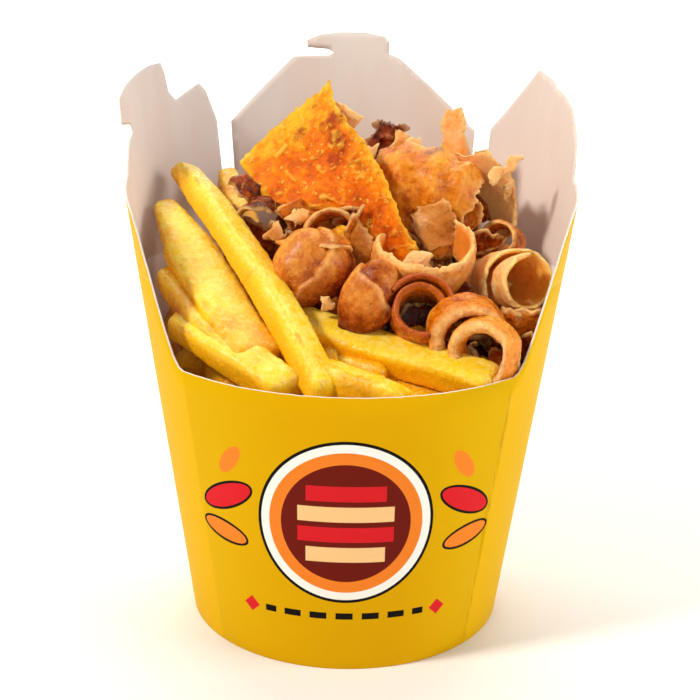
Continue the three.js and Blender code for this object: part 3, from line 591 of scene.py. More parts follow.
def makeMeat(name, look):
    # roasted meat: browned, lighter where raised and darker between (painted shade in the dips), burnt spots,
    # pale torn rims, an oily shine in places
    material, tree = newMaterial(name)
    add = partial(addNode, tree)
    place = add("TexCoord", output="Object")
    patches, mottle, fine, scorch, pore, froth = [
        add("TexNoise", {"Vector": place, **patternOf(*pattern)}) for pattern in (
            (look["patchSize"], 3.0, 0.55, 0.3), (1.7, 4.0, 0.64), (0.42, 3.0, 0.6),
            (look["burntSize"], 4.0, 0.66), (0.8, 2.0, 0.5), (1.3, 2.0, 0.5))]
    rim, side, tone, relief, burn, blister = [
        add("Attribute", output="Fac", attribute_name=label)
        for label in ("rim", "side", "tone", "relief", "burn", "blister")]
    # tone, set per piece, darkens the level; it carries painted light and shade as well as each piece's own
    # colour
    level = add("Math", (patches, 0.58), operation="MULTIPLY")
    # relief lifts the level where the sheet is raised, so its dips come out darker: painted shade
    for value, share in ((mottle, 0.42), (tone, -0.34), (relief, look["reliefShare"])):
        level = add("Math", (value, share, level), operation="MULTIPLY_ADD")
    innerShare = add("Math", (add("MapRange", (side, 0.5, 0.0)), look["innerShare"]), operation="MULTIPLY")
    browned = add("MapRange", (level, 0.6, 0.2))
    innerColours = {6: fromHex(look["inner"]), 7: fromHex(look["stops"][1][1])}
    innerColour = add("Mix", {0: browned, **innerColours}, 2, data_type="RGBA")
    uneven = add("MapRange", (mottle, 0.3, 0.6, 0.45, 1.0))
    torn = add("Math", (add("MapRange", (rim, 0.3, 1.0)), uneven), operation="MULTIPLY")
    charred = add("Math", (mottle, 0.35, scorch), operation="MULTIPLY_ADD")
    # the burn mark holds scorched spots and also painted shade deep inside a roll
    charred = add("Math", (burn, 0.34, charred), operation="MULTIPLY_ADD")
    burnt = add("MapRange", (charred, look["burntFrom"] + 0.16, look["burntFrom"] + 0.36))
    froth = add("MapRange", (froth, 0.62, 0.68))
    bubbles = add("Math", (froth, add("MapRange", (blister, 0.2, 0.6))), operation="MAXIMUM")
    shares = ((torn, look["rimShare"]), (burnt, look["burntShare"]), (add("MapRange", (pore, 0.34, 0.29)), 0.5),
              (bubbles, look["bubbleShare"]))
    tornShare, burntShare, poreShare, bubbleShare = [add("Math", pair, operation="MULTIPLY") for pair in shares]
    paleRim, blackened, fatty = (fromHex(look[label]) for label in ("rim", "burnt", "bubble"))
    colour = add("ValToRGB", (level,), stops=look["stops"])
    for share, over in ((innerShare, innerColour), (tornShare, paleRim), (burntShare, blackened),
                        (poreShare, blackened), (bubbleShare, fatty)):
        colour = add("Mix", {0: share, 6: colour, 7: over}, 2, data_type="RGBA")
    height = add("Math", (fine, 0.35), operation="MULTIPLY")
    for value, share in ((mottle, 0.6), (bubbles, 0.45)):
        height = add("Math", (value, share, height), operation="MULTIPLY_ADD")
    finishMaterial(tree, {
        "Base Color": colour, "IOR": 1.45,
        "Roughness": add("MapRange", (mottle, 0.3, 0.7, look["gloss"], look["gloss"] + 0.25)),
        "Subsurface Weight": look["light"], "Subsurface Radius": look.get("spread", (1.0, 0.4, 0.05)),
        "Subsurface Scale": look.get("reach", 0.002), "Specular IOR Level": look["shine"],
        "Coat Weight": look["coat"], "Coat Roughness": 0.2}, height, look.get("relief", 0.5), 0.8)
    return material


meatLooks = {
    # shaved across the grain and browned in its own fat: tan to orange-brown
    "shavedMeatRoasted": {
        "stops": [(0.2, "#4C0E00"), (0.36, "#A04000"), (0.5, "#D8740A"), (0.66, "#F2A030")],
        "inner": "#D26A06", "innerShare": 0.6, "rim": "#F8CD82", "rimShare": 0.75,
        "burnt": "#5A1800", "burntFrom": 0.64, "burntSize": 5.0, "burntShare": 0.7,
        "bubble": "#F8C877", "bubbleShare": 0.2, "patchSize": 8.0, "reliefShare": 0.12,
        "gloss": 0.16, "coat": 0.05, "light": 0.2, "shine": 0.2},
    # a crisp outer slice: saturated orange with pale bubbles and scorched places
    "shavedMeatCrisp": {
        "stops": [(0.24, "#B84600"), (0.38, "#E96A00"), (0.49, "#F68A00"), (0.6, "#FDB41A")],
        "inner": "#D87008", "innerShare": 0.5, "rim": "#FDC02C", "rimShare": 0.8,
        "burnt": "#9C2A00", "burntFrom": 0.66, "burntSize": 4.5, "burntShare": 0.85,
        "bubble": "#FFD050", "bubbleShare": 0.65, "patchSize": 10.0, "reliefShare": 0.16,
        "gloss": 0.26, "coat": 0.0, "light": 0.2, "shine": 0.12, "relief": 0.6},
    # thin and lightly cooked: golden tan, pale at its torn rims
    "shavedMeatPale": {
        "stops": [(0.2, "#A44A08"), (0.36, "#DA7A1E"), (0.5, "#F09C42"), (0.66, "#F9C07A")],
        "inner": "#F08206", "innerShare": 0.8, "rim": "#F9D084", "rimShare": 0.75,
        "burnt": "#9A4408", "burntFrom": 0.68, "burntSize": 3.6, "burntShare": 0.5,
        "bubble": "#FADB9A", "bubbleShare": 0.15, "patchSize": 7.0, "reliefShare": 0.12,
        "gloss": 0.22, "coat": 0.0, "light": 0.22, "shine": 0.18},
    # rolled thin and golden, its hollow a bright orange: partly light passing through the thin sheet, partly
    # painted light in its inner colour
    "shavedMeatGolden": {
        "stops": [(0.2, "#AC5008"), (0.36, "#DE7E24"), (0.5, "#F2A04C"), (0.66, "#FAC482")],
        "inner": "#FFB648", "innerShare": 0.92, "rim": "#FAD48A", "rimShare": 0.8,
        "burnt": "#A84C08", "burntFrom": 0.68, "burntSize": 3.6, "burntShare": 0.4,
        "bubble": "#FADB9A", "bubbleShare": 0.12, "patchSize": 6.0, "reliefShare": 0.12,
        "gloss": 0.22, "coat": 0.0, "light": 0.5, "reach": 0.004, "spread": (1.0, 0.45, 0.08), "shine": 0.15},
    # the duller inner side of a slice: greyish tan
    "shavedMeatGrey": {
        "stops": [(0.2, "#8A3E06"), (0.36, "#C07022"), (0.5, "#D68B3C"), (0.66, "#E6AA68")],
        "inner": "#B8601A", "innerShare": 0.6, "rim": "#EBB878", "rimShare": 0.6,
        "burnt": "#7C3606", "burntFrom": 0.68, "burntSize": 4.0, "burntShare": 0.5,
        "bubble": "#EEC48C", "bubbleShare": 0.15, "patchSize": 7.0, "reliefShare": 0.14,
        "gloss": 0.24, "coat": 0.0, "light": 0.2, "shine": 0.2},
    # rolled with its scorched side out: dark red-brown, glossy
    "rolledMeatMahogany": {
        "stops": [(0.2, "#280500"), (0.36, "#661A00"), (0.52, "#A84204"), (0.7, "#D87A1C")],
        "inner": "#C86210", "innerShare": 0.8, "rim": "#B04A14", "rimShare": 0.8,
        "burnt": "#2A0500", "burntFrom": 0.62, "burntSize": 4.0, "burntShare": 0.6,
        "bubble": "#E3A35A", "bubbleShare": 0.1, "patchSize": 6.0, "reliefShare": 0.15,
        "gloss": 0.16, "coat": 0.12, "light": 0.1, "shine": 0.28},
    # whole folded chunks: tan bellies, red-brown shoulders
    "meatChunkBraised": {
        "stops": [(0.2, "#4E0E00"), (0.36, "#903604"), (0.52, "#C86C1C"), (0.68, "#E89C40")],
        "inner": "#B96A2A", "innerShare": 0.2, "rim": "#E8BE82", "rimShare": 0.5,
        "burnt": "#4E1200", "burntFrom": 0.64, "burntSize": 4.4, "burntShare": 0.65,
        "bubble": "#F2C98A", "bubbleShare": 0.12, "patchSize": 8.0, "reliefShare": 0.2,
        "gloss": 0.16, "coat": 0.06, "light": 0.25, "shine": 0.22},
}
friedPotato = makeFriedPotato(fryLook)
meats = {name: makeMeat(name, look) for name, look in meatLooks.items()}
print("food finishes are made")


def keepInside(points):
    # what would pass through the board is pressed against it
    points = np.asarray(points, float)
    radius = np.hypot(points[:, 0], points[:, 1])
    turn = np.degrees(np.arctan2(-points[:, 0], -points[:, 1]))
    limit = wallRadius(turn, points[:, 2]) - board["thickness"] - 0.4
    shrink = np.minimum(1, limit / np.maximum(radius, 0.1))
    return points * np.stack([shrink, shrink, shrink * 0 + 1], -1)


# ---- fries

fryShape = {
    "capDepth": 1.6, "capRings": 6, "square": 0.46, "waist": 0.05, "uneven": 0.035, "sway": 0.5,
    "slant": 1.2, "slantReach": 7, "bluntness": 0.86, "tipReach": 20, "browned": 3.0,
    # size and depth in millimetres of the lumps, the grain and the blisters
    "lumps": (9.0, 0.25), "grain": (2.6, 0.1), "blisters": (1.6, 0.4),
}


def frySkin(one, seed, density=0.75):
    # a squared bar along a bowed line, with blunt cut ends and a blistered crust
    shape = fryShape
    start, end = np.array(one["from"], float), np.array(one["to"], float)
    length = np.linalg.norm(end - start)
    forward = unit(end - start)
    sideways = unit(np.cross([0, 0, 1], forward))
    sideways = np.array(Matrix.Rotation(math.radians(one["roll"]), 3, Vector(forward)) @ Vector(sideways))
    upward = np.cross(forward, sideways)
    bend = np.linspace(0, math.pi / 2, shape["capRings"] + 1)[:-1]
    capDepth = shape["capDepth"]
    capScale, capPlace = np.sin(bend) ** 0.6, capDepth * (1 - np.cos(bend)) ** 1.2
    steps = max(8, int((length - 2 * capDepth) / density))
    body = np.linspace(capDepth, length - capDepth, steps + 1)
    along = np.concatenate([capPlace, body, length - capPlace[::-1]])
    scale = np.maximum(np.concatenate([capScale, np.ones(steps + 1), capScale[::-1]]), 0.02)
    around = max(16, int(2 * (one["width"] + one["height"]) / density))
    angle = np.linspace(0, 2 * math.pi, around, endpoint=False) + 0.03
    cosine, sine = (np.sign(wave) * np.abs(wave) ** shape["square"] for wave in (np.cos(angle), np.sin(angle)))
    share, fromEnd = along / length, np.minimum(along, length - along)
    endSign = np.where(share < 0.5, -1, 1)[:, None]
    pointed = one.get("tip", 1.0)
    blunt = np.minimum(1, shape["bluntness"] + fromEnd / 20)
    blunt = blunt * np.minimum(1, pointed + (1 - pointed) * along / shape["tipReach"])
    waist = 1 + shape["waist"] * np.sin(share * 9 + length)
    half = blunt * scale / 2
    wide = (one["width"] * half * waist * (1 + shape["uneven"] * lineNoise(along, 14, seed)))[:, None]
    uneven = 1 + shape["uneven"] * lineNoise(along, 12, seed + 1)
    high = (one["height"] * half * (2 - waist) * uneven)[:, None]
    slant = shape["slant"] * (cosine * math.cos(seed) + sine * math.sin(seed))[None, :]
    nearEnd = endSign * np.clip(1 - fromEnd / shape["slantReach"], 0, 1)[:, None]
    sway = lineNoise(along, 26, seed + 2) * shape["sway"] * np.sin(share * math.pi)
    centre = start + forward * along[:, None] + upward * (one["bow"] * np.sin(share * math.pi))[:, None]
    centre = centre + sideways * sway[:, None]
    points = centre[:, None, :] + sideways * (wide * cosine)[..., None] + upward * (high * sine)[..., None]
    points = points + forward * (slant * nearEnd * scale[:, None])[..., None]
    out = sideways * (cosine / one["width"])[None, :, None] + upward * (sine / one["height"])[None, :, None]
    out = out / np.linalg.norm(out, axis=-1, keepdims=True)
    out = out * scale[:, None, None] + (1 - scale)[:, None, None] * endSign[..., None] * forward
    rough = sum(layeredNoise(points, shape[label][0], seed + step, 2) * shape[label][1]
                for step, label in ((3, "lumps"), (4, "grain")))
    size, depth = shape["blisters"]
    rough = rough + np.clip(layeredNoise(points, size, seed + 5, 2) - 0.15, 0, 1) * depth
    points = points + out * rough[..., None]
    rows, columns = points.shape[:2]
    count = rows * columns
    flat = np.concatenate([points.reshape(-1, 3), points[0].mean(0)[None], points[-1].mean(0)[None]])
    faces = [list(face) for face in gridFaces(rows, columns, False, True)]
    for spot in range(columns):
        after = (spot + 1) % columns
        faces += [[count, after, spot], [count + 1, count - columns + spot, count - columns + after]]
    cornerness = np.clip(np.abs(np.cos(angle) * np.sin(angle)) * 2, 0, 1) ** 3
    tones = np.atleast_1d(one.get("tone", 0.0))
    toneAlong = np.interp(share, np.linspace(0, 1, len(tones)), tones)
    tipAlong = np.clip(1 - fromEnd / shape["browned"], 0, 1)
    marks = {
        "corner": [*np.tile(cornerness, rows), 0, 0],
        "lid": [*np.clip(out[..., 2], 0, 1).ravel(), 0, 0],
        "tip": [*np.repeat(tipAlong, columns), 1, 1],
        "tone": [*np.repeat(toneAlong, columns), toneAlong[0], toneAlong[-1]],
    }
    return flat, facingOut(flat, faces), marks


def joinSkins(skins):
    points, faces, values, kinds = [], [], {}, []
    count = 0
    for index, (flat, rows, marks) in enumerate(skins):
        points.append(flat)
        faces += [[spot + count for spot in face] for face in rows]
        kinds += [index] * len(rows)
        for label, numbers in marks.items():
            values.setdefault(label, []).append(numbers)
        count += len(flat)
    values = {label: np.concatenate(parts) for label, parts in values.items()}
    return np.concatenate(points), faces, values, kinds


# tone lightens a fry above zero and darkens it below; fry_right is lightened along its lit length, and
# fry_left's low end and fry_mid_left are darkened where they lie in shade: painted light and shade
fries = {
    "fry_long": {"from": (-48.2, 20, 118.5), "to": (-4.6, -46, 71), "bow": 2.4, "width": 8.6, "height": 7.4,
                 "roll": -20, "tip": 0.75, "tone": (0.1, 0.35, 0.3, 0.1)},
    "fry_left": {"from": (-52, 10, 110), "to": (-21, -37, 76), "bow": -1.2, "width": 13.4, "height": 8,
                 "roll": 5, "tip": 0.42, "tone": (0.1, 0.3, 0.0, -0.6)},
    "fry_right": {"from": (-14, -17, 82.5), "to": (35, -38.5, 72.8), "bow": -0.6, "width": 9.8, "height": 7.4,
                  "roll": 25, "tip": 1, "tone": (0.3, 0.6, 1.1, 0.8)},
    "fry_low_left": {"from": (-44.5, -19, 82.5), "to": (-13.5, -44.5, 71.2), "bow": 1.8, "width": 9.6,
                     "height": 8.4, "roll": 20, "tip": 0.8, "tone": 0.15},
    "fry_mid_left": {"from": (-49, -7, 93), "to": (-26, -36, 76.5), "bow": -0.5, "width": 9, "height": 7.4,
                     "roll": 0, "tip": 0.65, "tone": -0.25},
    "fry_low_middle": {"from": (-8, -38.5, 74.5), "to": (13, -45.5, 69.2), "bow": 0.5, "width": 9.4,
                       "height": 7.6, "roll": 0, "tip": 1, "tone": -0.1},
    "fry_back": {"from": (-37, 30, 116), "to": (-27, 8, 98), "bow": 1, "width": 7.6, "height": 6.8,
                 "roll": 0, "tip": 0.8, "tone": -0.3},
}
for index, (node, one) in enumerate(fries.items()):
    flat, faces, marks = frySkin(one, 11 + 13 * index, 0.5)
    piece = makePiece(pieceName(node), keepInside(flat), faces, [friedPotato], values=marks)
    settleInBox(piece, node)
print("large fries are made")


# ---- shaved meat

curlShape = {
    # a torn rim's long bites, short tears and fine fringes: size and depth; fringes come in patches
    "bites": (6.5, 1.6), "tears": (2.4, 0.9), "fringes": (1.0, 1.8), "fringePatch": 5.0, "rimBulge": 0.22,
    "grain": (2.4, 0.24), "underside": (2.2, 0.15), "uneven": (6, 0.25), "rimThinning": 0.62,
    "rimCurl": (4.5, 1.1), "pleatSpacing": 1.5, "pleatBend": 12,
}
curlPlain = {  # what a shaving is unless it says otherwise
    "lead": 0, "tail": 0, "pitch": 0, "cone": 0, "dish": 0, "shift": (0, 0), "wave": 0.7, "waveSize": 9.0,
    "tooth": 0.8, "crust": 0.25, "bumpSize": 1.7, "pleat": 0.0, "rimWidth": 1.6, "deepen": 0.0, "tone": 0.0,
    "burns": (), "turned": 0,
}


def curlSkin(one, seed, density=0.42):
    # a shaving curled about an axis, with torn rims, ripples, browned bumps and an uneven thickness
    one, shape = {**curlPlain, **one}, curlShape
    along = unit(one["axis"])
    start = np.array(one["start"], float)
    outward = unit(start - along * (start @ along))
    onward = np.cross(along, outward)
    radius, lead, tooth = one["radius"], one["lead"], one["tooth"]
    arc = radius * math.radians(one["turn"])
    length = lead + arc + one["tail"]
    widths, shifts, tones = one["width"], one["shift"], np.atleast_1d(one["tone"])
    rows, columns = max(12, int(length / density)), max(8, int(max(widths) / density))
    u = np.linspace(0, 1, rows)[:, None]
    v = np.linspace(-0.5, 0.5, columns)[None, :]
    wide, drift, tone = (
        np.interp(u, np.linspace(0, 1, len(values)), values) for values in (widths, shifts, tones))

    def tornEdge(values, number):
        places = lineNoise(values, shape["fringePatch"], number + 7) * 0.5 + 0.5
        torn = lineNoise(values, shape["fringes"][0], number, 2) * places * shape["fringes"][1]
        for label, step in (("bites", 3), ("tears", 5)):
            torn = torn + lineNoise(values, shape[label][0], number + step) * shape[label][1]
        return torn * tooth

    def onCurl(travel, across, lifted):
        turn = np.clip(travel - lead, 0, arc) / radius
        straight = travel - lead - turn * radius
        normal = outward * np.cos(turn)[..., None] + onward * np.sin(turn)[..., None]
        tangent = onward * np.cos(turn)[..., None] - outward * np.sin(turn)[..., None]
        portion = across / np.maximum(wide, 0.1)
        lift = one["cone"] * across + one["dish"] * (1 - 4 * portion ** 2) + lifted
        reach = radius + one["pitch"] * turn / (2 * math.pi) + lift
        spread = along * (across + drift)[..., None]
        return normal * reach[..., None] + tangent * straight[..., None] + spread, normal

    plain = onCurl(u * length + 0 * v, v * wide, 0)[0].reshape(-1, 3)
    move = np.array(one["at"]) - (plain.min(0) + plain.max(0)) / 2
    firstEnd, lastEnd = (tornEdge(v * max(widths), seed + step) for step in (11, 17))
    travel = u * length + (1 - u) ** 9 * firstEnd - u ** 9 * lastEnd
    across = v * wide + np.where(v < 0, -1, 1) * np.abs(2 * v) ** 7 * tornEdge(u * length, seed + 23)
    flatPlace = np.stack([travel, across, travel * 0 + seed * 5.1], -1)
    noise = partial(layeredNoise, flatPlace, layers=2)
    grain = noise(shape["grain"][0], seed + 5)
    bump = np.clip(noise(one["bumpSize"], seed + 6) - 0.1, 0, 1)
    pleats = np.sin(across / shape["pleatSpacing"] + 2.2 * noise(shape["pleatBend"], seed + 41))
    ripple = noise(one["waveSize"], seed) * one["wave"] + pleats * one["pleat"]
    sheet, normal = onCurl(travel, across, ripple)
    nearest = np.minimum((0.5 - np.abs(v)) * wide, np.minimum(u, 1 - u) * length)
    rim = np.clip(1 - nearest / one["rimWidth"], 0, 1)
    curled = noise(shape["rimCurl"][0], seed + 31) * rim ** 2 * tooth * shape["rimCurl"][1]
    sheet = sheet + normal * curled[..., None] + move
    uneven = 1 + shape["uneven"][1] * noise(shape["uneven"][0], seed + 8)
    body = one["thickness"] / 2 * uneven * (1 - shape["rimThinning"] * rim ** 2)
    above = body + grain * shape["grain"][1] + bump * one["crust"]
    below = body + noise(shape["underside"][0], seed + 9) * shape["underside"][1]
    top, bottom = sheet + normal * above[..., None], sheet - normal * below[..., None]
    # one ring across each row: top, far rim, bottom back, near rim
    farRim = (top[:, -1] + bottom[:, -1]) / 2 + along * shape["rimBulge"]
    nearRim = (top[:, 0] + bottom[:, 0]) / 2 - along * shape["rimBulge"]
    ring = np.concatenate([top, farRim[:, None], bottom[:, ::-1], nearRim[:, None]], 1)
    size = ring.shape[1]
    faces = [list(face) for face in gridFaces(rows, size, False, True)]
    for base, way in ((0, 1), ((rows - 1) * size, -1)):
        far, near = base + columns, base + 2 * columns + 1
        cap = [[base + spot, base + spot + 1, near - spot - 2, near - spot - 1] for spot in range(columns - 1)]
        cap += [[far - 1, far, far + 1], [base, near - 1, near]]
        faces += [face[::way] for face in cap]
    flat = ring.reshape(-1, 3)

    def ringed(first, second, between):
        edge = np.full((rows, 1), between)
        return np.concatenate([first, edge, second[:, ::-1], edge], 1).ravel()

    ones = np.ones((rows, columns))
    relief = grain * 0.5 + ripple / max(one["wave"], 0.1) * 0.5
    burn = ones * 0
    for spotAlong, spotAcross, spotSize, strength in one["burns"]:
        apart = np.hypot(travel - spotAlong * length, across - spotAcross * wide) / spotSize
        burn = np.maximum(burn, strength * np.clip(1.2 - apart, 0, 1))
    # the inside of a roll is darker the further in it lies: painted shade, carried on the burn mark
    deep = one["deepen"] * np.clip((0.32 - v) * 1.9, 0, 1) * ones
    outer = 0 if one["turned"] else 1
    marks = {
        "rim": ringed(rim, rim, 1.0), "side": ringed(ones * outer, ones * (1 - outer), 0.5),
        "blister": ringed(bump, bump * 0, 0.0), "relief": ringed(relief, relief * 0.4, 0.3),
        "tone": ringed(tone * ones, tone * ones, tones[0]),
        "burn": ringed(burn + deep * 0.4, burn * 0.3 + deep, 0.0),
    }
    return flat, facingOut(flat, faces), marks


chunkShape = {
    "rows": 110, "columns": 150, "lumps": (0.035, 0.03),
    # each layer's share before its torn end, how fast it drops there, and the torn strip's width and height
    "layerEnd": 0.9, "drop": 0.06, "tornWidth": 0.1, "stepHeight": 1.1,
    # size and strength in millimetres of the seams' wandering, the grain and the dents
    "wander": (7.0, 2.6), "grain": (2.3, 0.14), "dents": (8, 0.5),
}


def chunkSkin(one, seed):
    # a slice folded over itself: lumpy, tucked in on one side, each layer ending in a torn step to the next
    shape = chunkShape
    rows, columns, layerEnd = shape["rows"], shape["columns"], shape["layerEnd"]
    polar = np.linspace(0.02, math.pi - 0.02, rows)[:, None]
    angle = np.linspace(0, 2 * math.pi, columns, endpoint=False)[None, :]
    x, y, z = np.sin(polar) * np.cos(angle), np.cos(polar) + 0 * angle, np.sin(polar) * np.sin(angle)
    ball = np.stack([x, y, z], -1)
    lump = 1 + shape["lumps"][0] * np.sin(3 * x + 4 * z) + shape["lumps"][1] * np.cos(5 * y - 2 * x)
    tuck = 1 - one["tuck"] * np.clip(x, 0, 1) ** 2
    shaped = ball * (lump * tuck)[..., None] * np.array(one["size"]) / 2
    turned = Matrix.Identity(3)
    for direction, lean in zip("XYZ", one["lean"]):
        turned = turned @ Matrix.Rotation(math.radians(lean), 3, direction)
    turned = np.array(turned)
    wander = layeredNoise(shaped, shape["wander"][0], seed)
    grain = layeredNoise(shaped, shape["grain"][0], seed + 2)
    dents = layeredNoise(shaped, shape["dents"][0], seed + 4, 2)
    across = shaped @ (turned.T @ unit(one["layers"])) + wander * shape["wander"][1]
    part = ((across - one["layerStart"]) / one["layerWidth"] + 0.95) % 1
    step = np.clip(part / layerEnd, 0, 1) * np.clip((1 - part) / shape["drop"], 0, 1)
    torn = np.clip(1 - np.abs(part - layerEnd) / shape["tornWidth"], 0, 1)
    raised = step * shape["stepHeight"] + grain * shape["grain"][1] + dents * shape["dents"][1]
    flat = (shaped + ball * raised[..., None]).reshape(-1, 3) @ turned.T + np.array(one["at"])
    faces = [list(face) for face in gridFaces(rows, columns, False, True)]
    faces += [list(range(columns)), [(rows - 1) * columns + spot for spot in range(columns)][::-1]]
    # darker towards the foot and the far side: painted shade
    low = np.clip(-(flat - flat.mean(0)) @ np.array([-0.5, -0.3, 0.8]) / (max(one["size"]) / 2), -1, 1)
    plain = np.zeros(len(flat))
    marks = {"rim": torn.ravel(), "side": plain + 1, "relief": np.clip(grain * 0.5 + step - 0.5, -1, 1).ravel(),
             "tone": one["tone"] + 0.9 * np.clip(low, -0.3, 1), "burn": plain}
    return flat, facingOut(flat, faces), marks


# tone above zero darkens a piece and below zero lightens it; the curved ribbon is lightened where it lies in
# shade: painted light
shavings = {
    "crisp_slice": {
        "at": (-6, 5, 116.5), "axis": (0.75, -0.06, 0.66), "start": (-0.435, -0.78, 0.425), "radius": 105,
        "turn": 32, "width": (33, 31.5, 29, 17, 11, 9, 6), "shift": (1.5, -0.2, 0.5, 6, 7, 5.5, 4),
        "thickness": 1.8, "wave": 1.3, "waveSize": 15, "tooth": 0.6, "crust": 0.9, "bumpSize": 1.9,
        "rimWidth": 3.2, "meat": "shavedMeatCrisp", "tone": (-0.35, 0.1, 0.28, 0.3, 0.42, 0.5, 0.4),
        "burns": ((0.3, 0.3, 7, 1), (0.2, 0.42, 5, 0.9), (0.12, 0.12, 3, 0.9), (0.42, 0.3, 5, 0.7),
                  (0.05, 0.3, 4, 0.5))},
    "roll_dark": {
        "at": (17.6, -24, 87), "axis": (0, -0.85, 0.52), "start": (1, 0, 0.3), "radius": 5.5, "turn": 500,
        "pitch": 2.2, "width": (12, 12, 11), "shift": (-0.5, 0, 0.5), "thickness": 1.7, "tooth": 0.45,
        "wave": 0.4, "tone": (-0.7, -0.3, 0, 0.1), "rimWidth": 1, "deepen": 1,
        "meat": "rolledMeatMahogany"},
    "roll_pale": {
        "at": (40.2, -12, 92.7), "axis": (0.3, -0.93, 0.2), "start": (0, 0, 1), "radius": 5, "turn": 560,
        "pitch": 1.9, "cone": 0.1, "width": (23, 23, 15), "shift": (5, 0, -6), "thickness": 1.4,
        "tooth": 0.9, "tone": -0.25, "wave": 0.4, "meat": "shavedMeatGolden"},
    "cup_slice": {
        "at": (18.6, -12, 98.8), "axis": (0.12, -0.35, 0.9), "start": (-0.8, 0.6, 0), "radius": 12.2,
        "turn": 262, "width": (6, 7, 7, 12, 9), "shift": (-2, 0, 0, 1, 2), "thickness": 1.9, "tooth": 0.7,
        "tone": (-0.1, 0, -0.1, -0.35), "wave": 0.6, "meat": "shavedMeatPale"},
    "folded_slice": {
        "at": (21, 12.5, 111), "axis": (0.93, -0.25, -0.22), "start": (0, 0.7, 0.7), "radius": 8.6,
        "turn": 145, "lead": 4, "tail": 12, "dish": 3.4, "width": (22, 30, 30, 22, 9),
        "shift": (-1, 0, 0, 3, 8), "thickness": 2, "tooth": 0.8, "wave": 1.6, "waveSize": 9, "pleat": 0.7,
        "crust": 0.3, "tone": (-0.55, -0.25, -0.1, -0.2),
        "burns": ((0.35, 0, 6, 0.5), (0.3, 0.15, 4, 0.4)), "meat": "shavedMeatRoasted"},
    "arch_back": {
        "at": (28.6, -29.5, 83.6), "axis": (-0.05, 0.97, 0.2), "start": (-1, 0, -0.1), "radius": 7.6,
        "turn": 190, "lead": 6, "width": (7, 8, 8), "thickness": 3.8, "tooth": 0.3, "wave": 0.5, "tone": 0,
        "rimWidth": 1, "crust": 0.15, "meat": "shavedMeatRoasted"},
    "arch_front": {
        "at": (32.4, -35.5, 80.2), "axis": (0.45, 0.88, 0.05), "start": (-0.8, 0, -0.6), "radius": 7,
        "turn": 285, "width": (6, 8, 7), "thickness": 3.4, "tooth": 0.4, "wave": 0.5,
        "tone": (-0.3, -0.1, 0.1), "rimWidth": 1.4, "crust": 0.15, "meat": "shavedMeatRoasted"},
    "tall_ribbon": {
        "at": (31.5, 26, 122), "axis": (0.8, -0.35, 0.1), "start": (0.1, -0.95, 0.3), "radius": 34,
        "turn": 48, "width": (5, 8, 10, 12), "thickness": 1.5, "tooth": 0.6, "pleat": 0.3, "wave": 0.8,
        "tone": (-0.4, -0.2, 0.3), "meat": "shavedMeatPale"},
    "curved_ribbon": {
        "at": (37.6, 11, 111.4), "axis": (-0.6, 0.75, -0.3), "start": (0.78, 0, 0.62), "radius": 11,
        "turn": 110, "lead": 12, "tail": 5, "width": (9, 13, 12, 9, 6), "thickness": 1.5, "tooth": 1,
        "wave": 0.9, "tone": -0.6, "turned": 1, "meat": "shavedMeatPale"},
    "pale_flake": {
        "at": (22.5, -1, 106), "axis": (0.3, -0.1, 0.95), "start": (-0.7, -0.7, 0), "radius": 16,
        "turn": 42, "width": (8, 13, 13, 6), "thickness": 1.4, "tooth": 1.3, "wave": 0.7, "tone": 0,
        "meat": "shavedMeatGrey"},
    "dark_crust": {
        "at": (10, 33, 122.3), "axis": (0.98, 0, -0.05), "start": (0, -0.9, 0.4), "radius": 16, "turn": 80,
        "width": (6, 15, 19, 20), "thickness": 3, "tooth": 1.4, "wave": 2.2, "waveSize": 6, "crust": 1.3,
        "tone": 0.55, "meat": "meatChunkBraised"},
    "under_ribbon": {
        "at": (-5, -1.5, 104.6), "axis": (0.1, 0.9, -0.35), "start": (-0.95, 0, -0.1), "radius": 7,
        "turn": 200, "width": (7, 9, 7), "thickness": 1.7, "tooth": 0.5, "wave": 0.5, "tone": 0.3,
        "meat": "shavedMeatRoasted"},
    "toothed_flake": {
        "at": (3.2, -6, 101), "axis": (0.85, -0.35, 0.25), "start": (-0.3, -0.9, 0.2), "radius": 24,
        "turn": 36, "width": (3, 6, 7, 6), "thickness": 1.4, "tooth": 1.2, "wave": 0.4, "tone": 0.35,
        "meat": "shavedMeatGrey"},
    "small_curl": {
        "at": (41, 4.5, 101.5), "axis": (0.5, 0.8, -0.3), "start": (-1, 0, 0.2), "radius": 5.2,
        "turn": 230, "width": (6, 9, 7), "thickness": 1.4, "tooth": 0.5, "wave": 0.4, "tone": 0.1,
        "meat": "shavedMeatRoasted"},
    "side_flake": {
        "at": (44.5, -22, 82), "axis": (0.1, -0.5, 0.85), "start": (-0.5, -0.85, 0), "radius": 12,
        "turn": 80, "width": (12, 16, 12), "thickness": 1.6, "tooth": 0.7, "wave": 0.7, "tone": 0.2,
        "meat": "shavedMeatRoasted"},
    "left_flake": {
        "at": (-27, 9, 100), "axis": (0.4, -0.3, 0.8), "start": (-0.7, -0.6, 0.2), "radius": 13,
        "turn": 90, "width": (11, 15, 10), "thickness": 1.7, "tooth": 0.7, "wave": 0.8, "tone": 0.5,
        "meat": "shavedMeatRoasted"},
}
for index, (node, one) in enumerate(shavings.items()):
    flat, faces, marks = curlSkin(one, 101 + 17 * index)
    piece = makePiece(pieceName(node), keepInside(flat), faces, [meats[one["meat"]]], values=marks)
    settleInBox(piece, node)

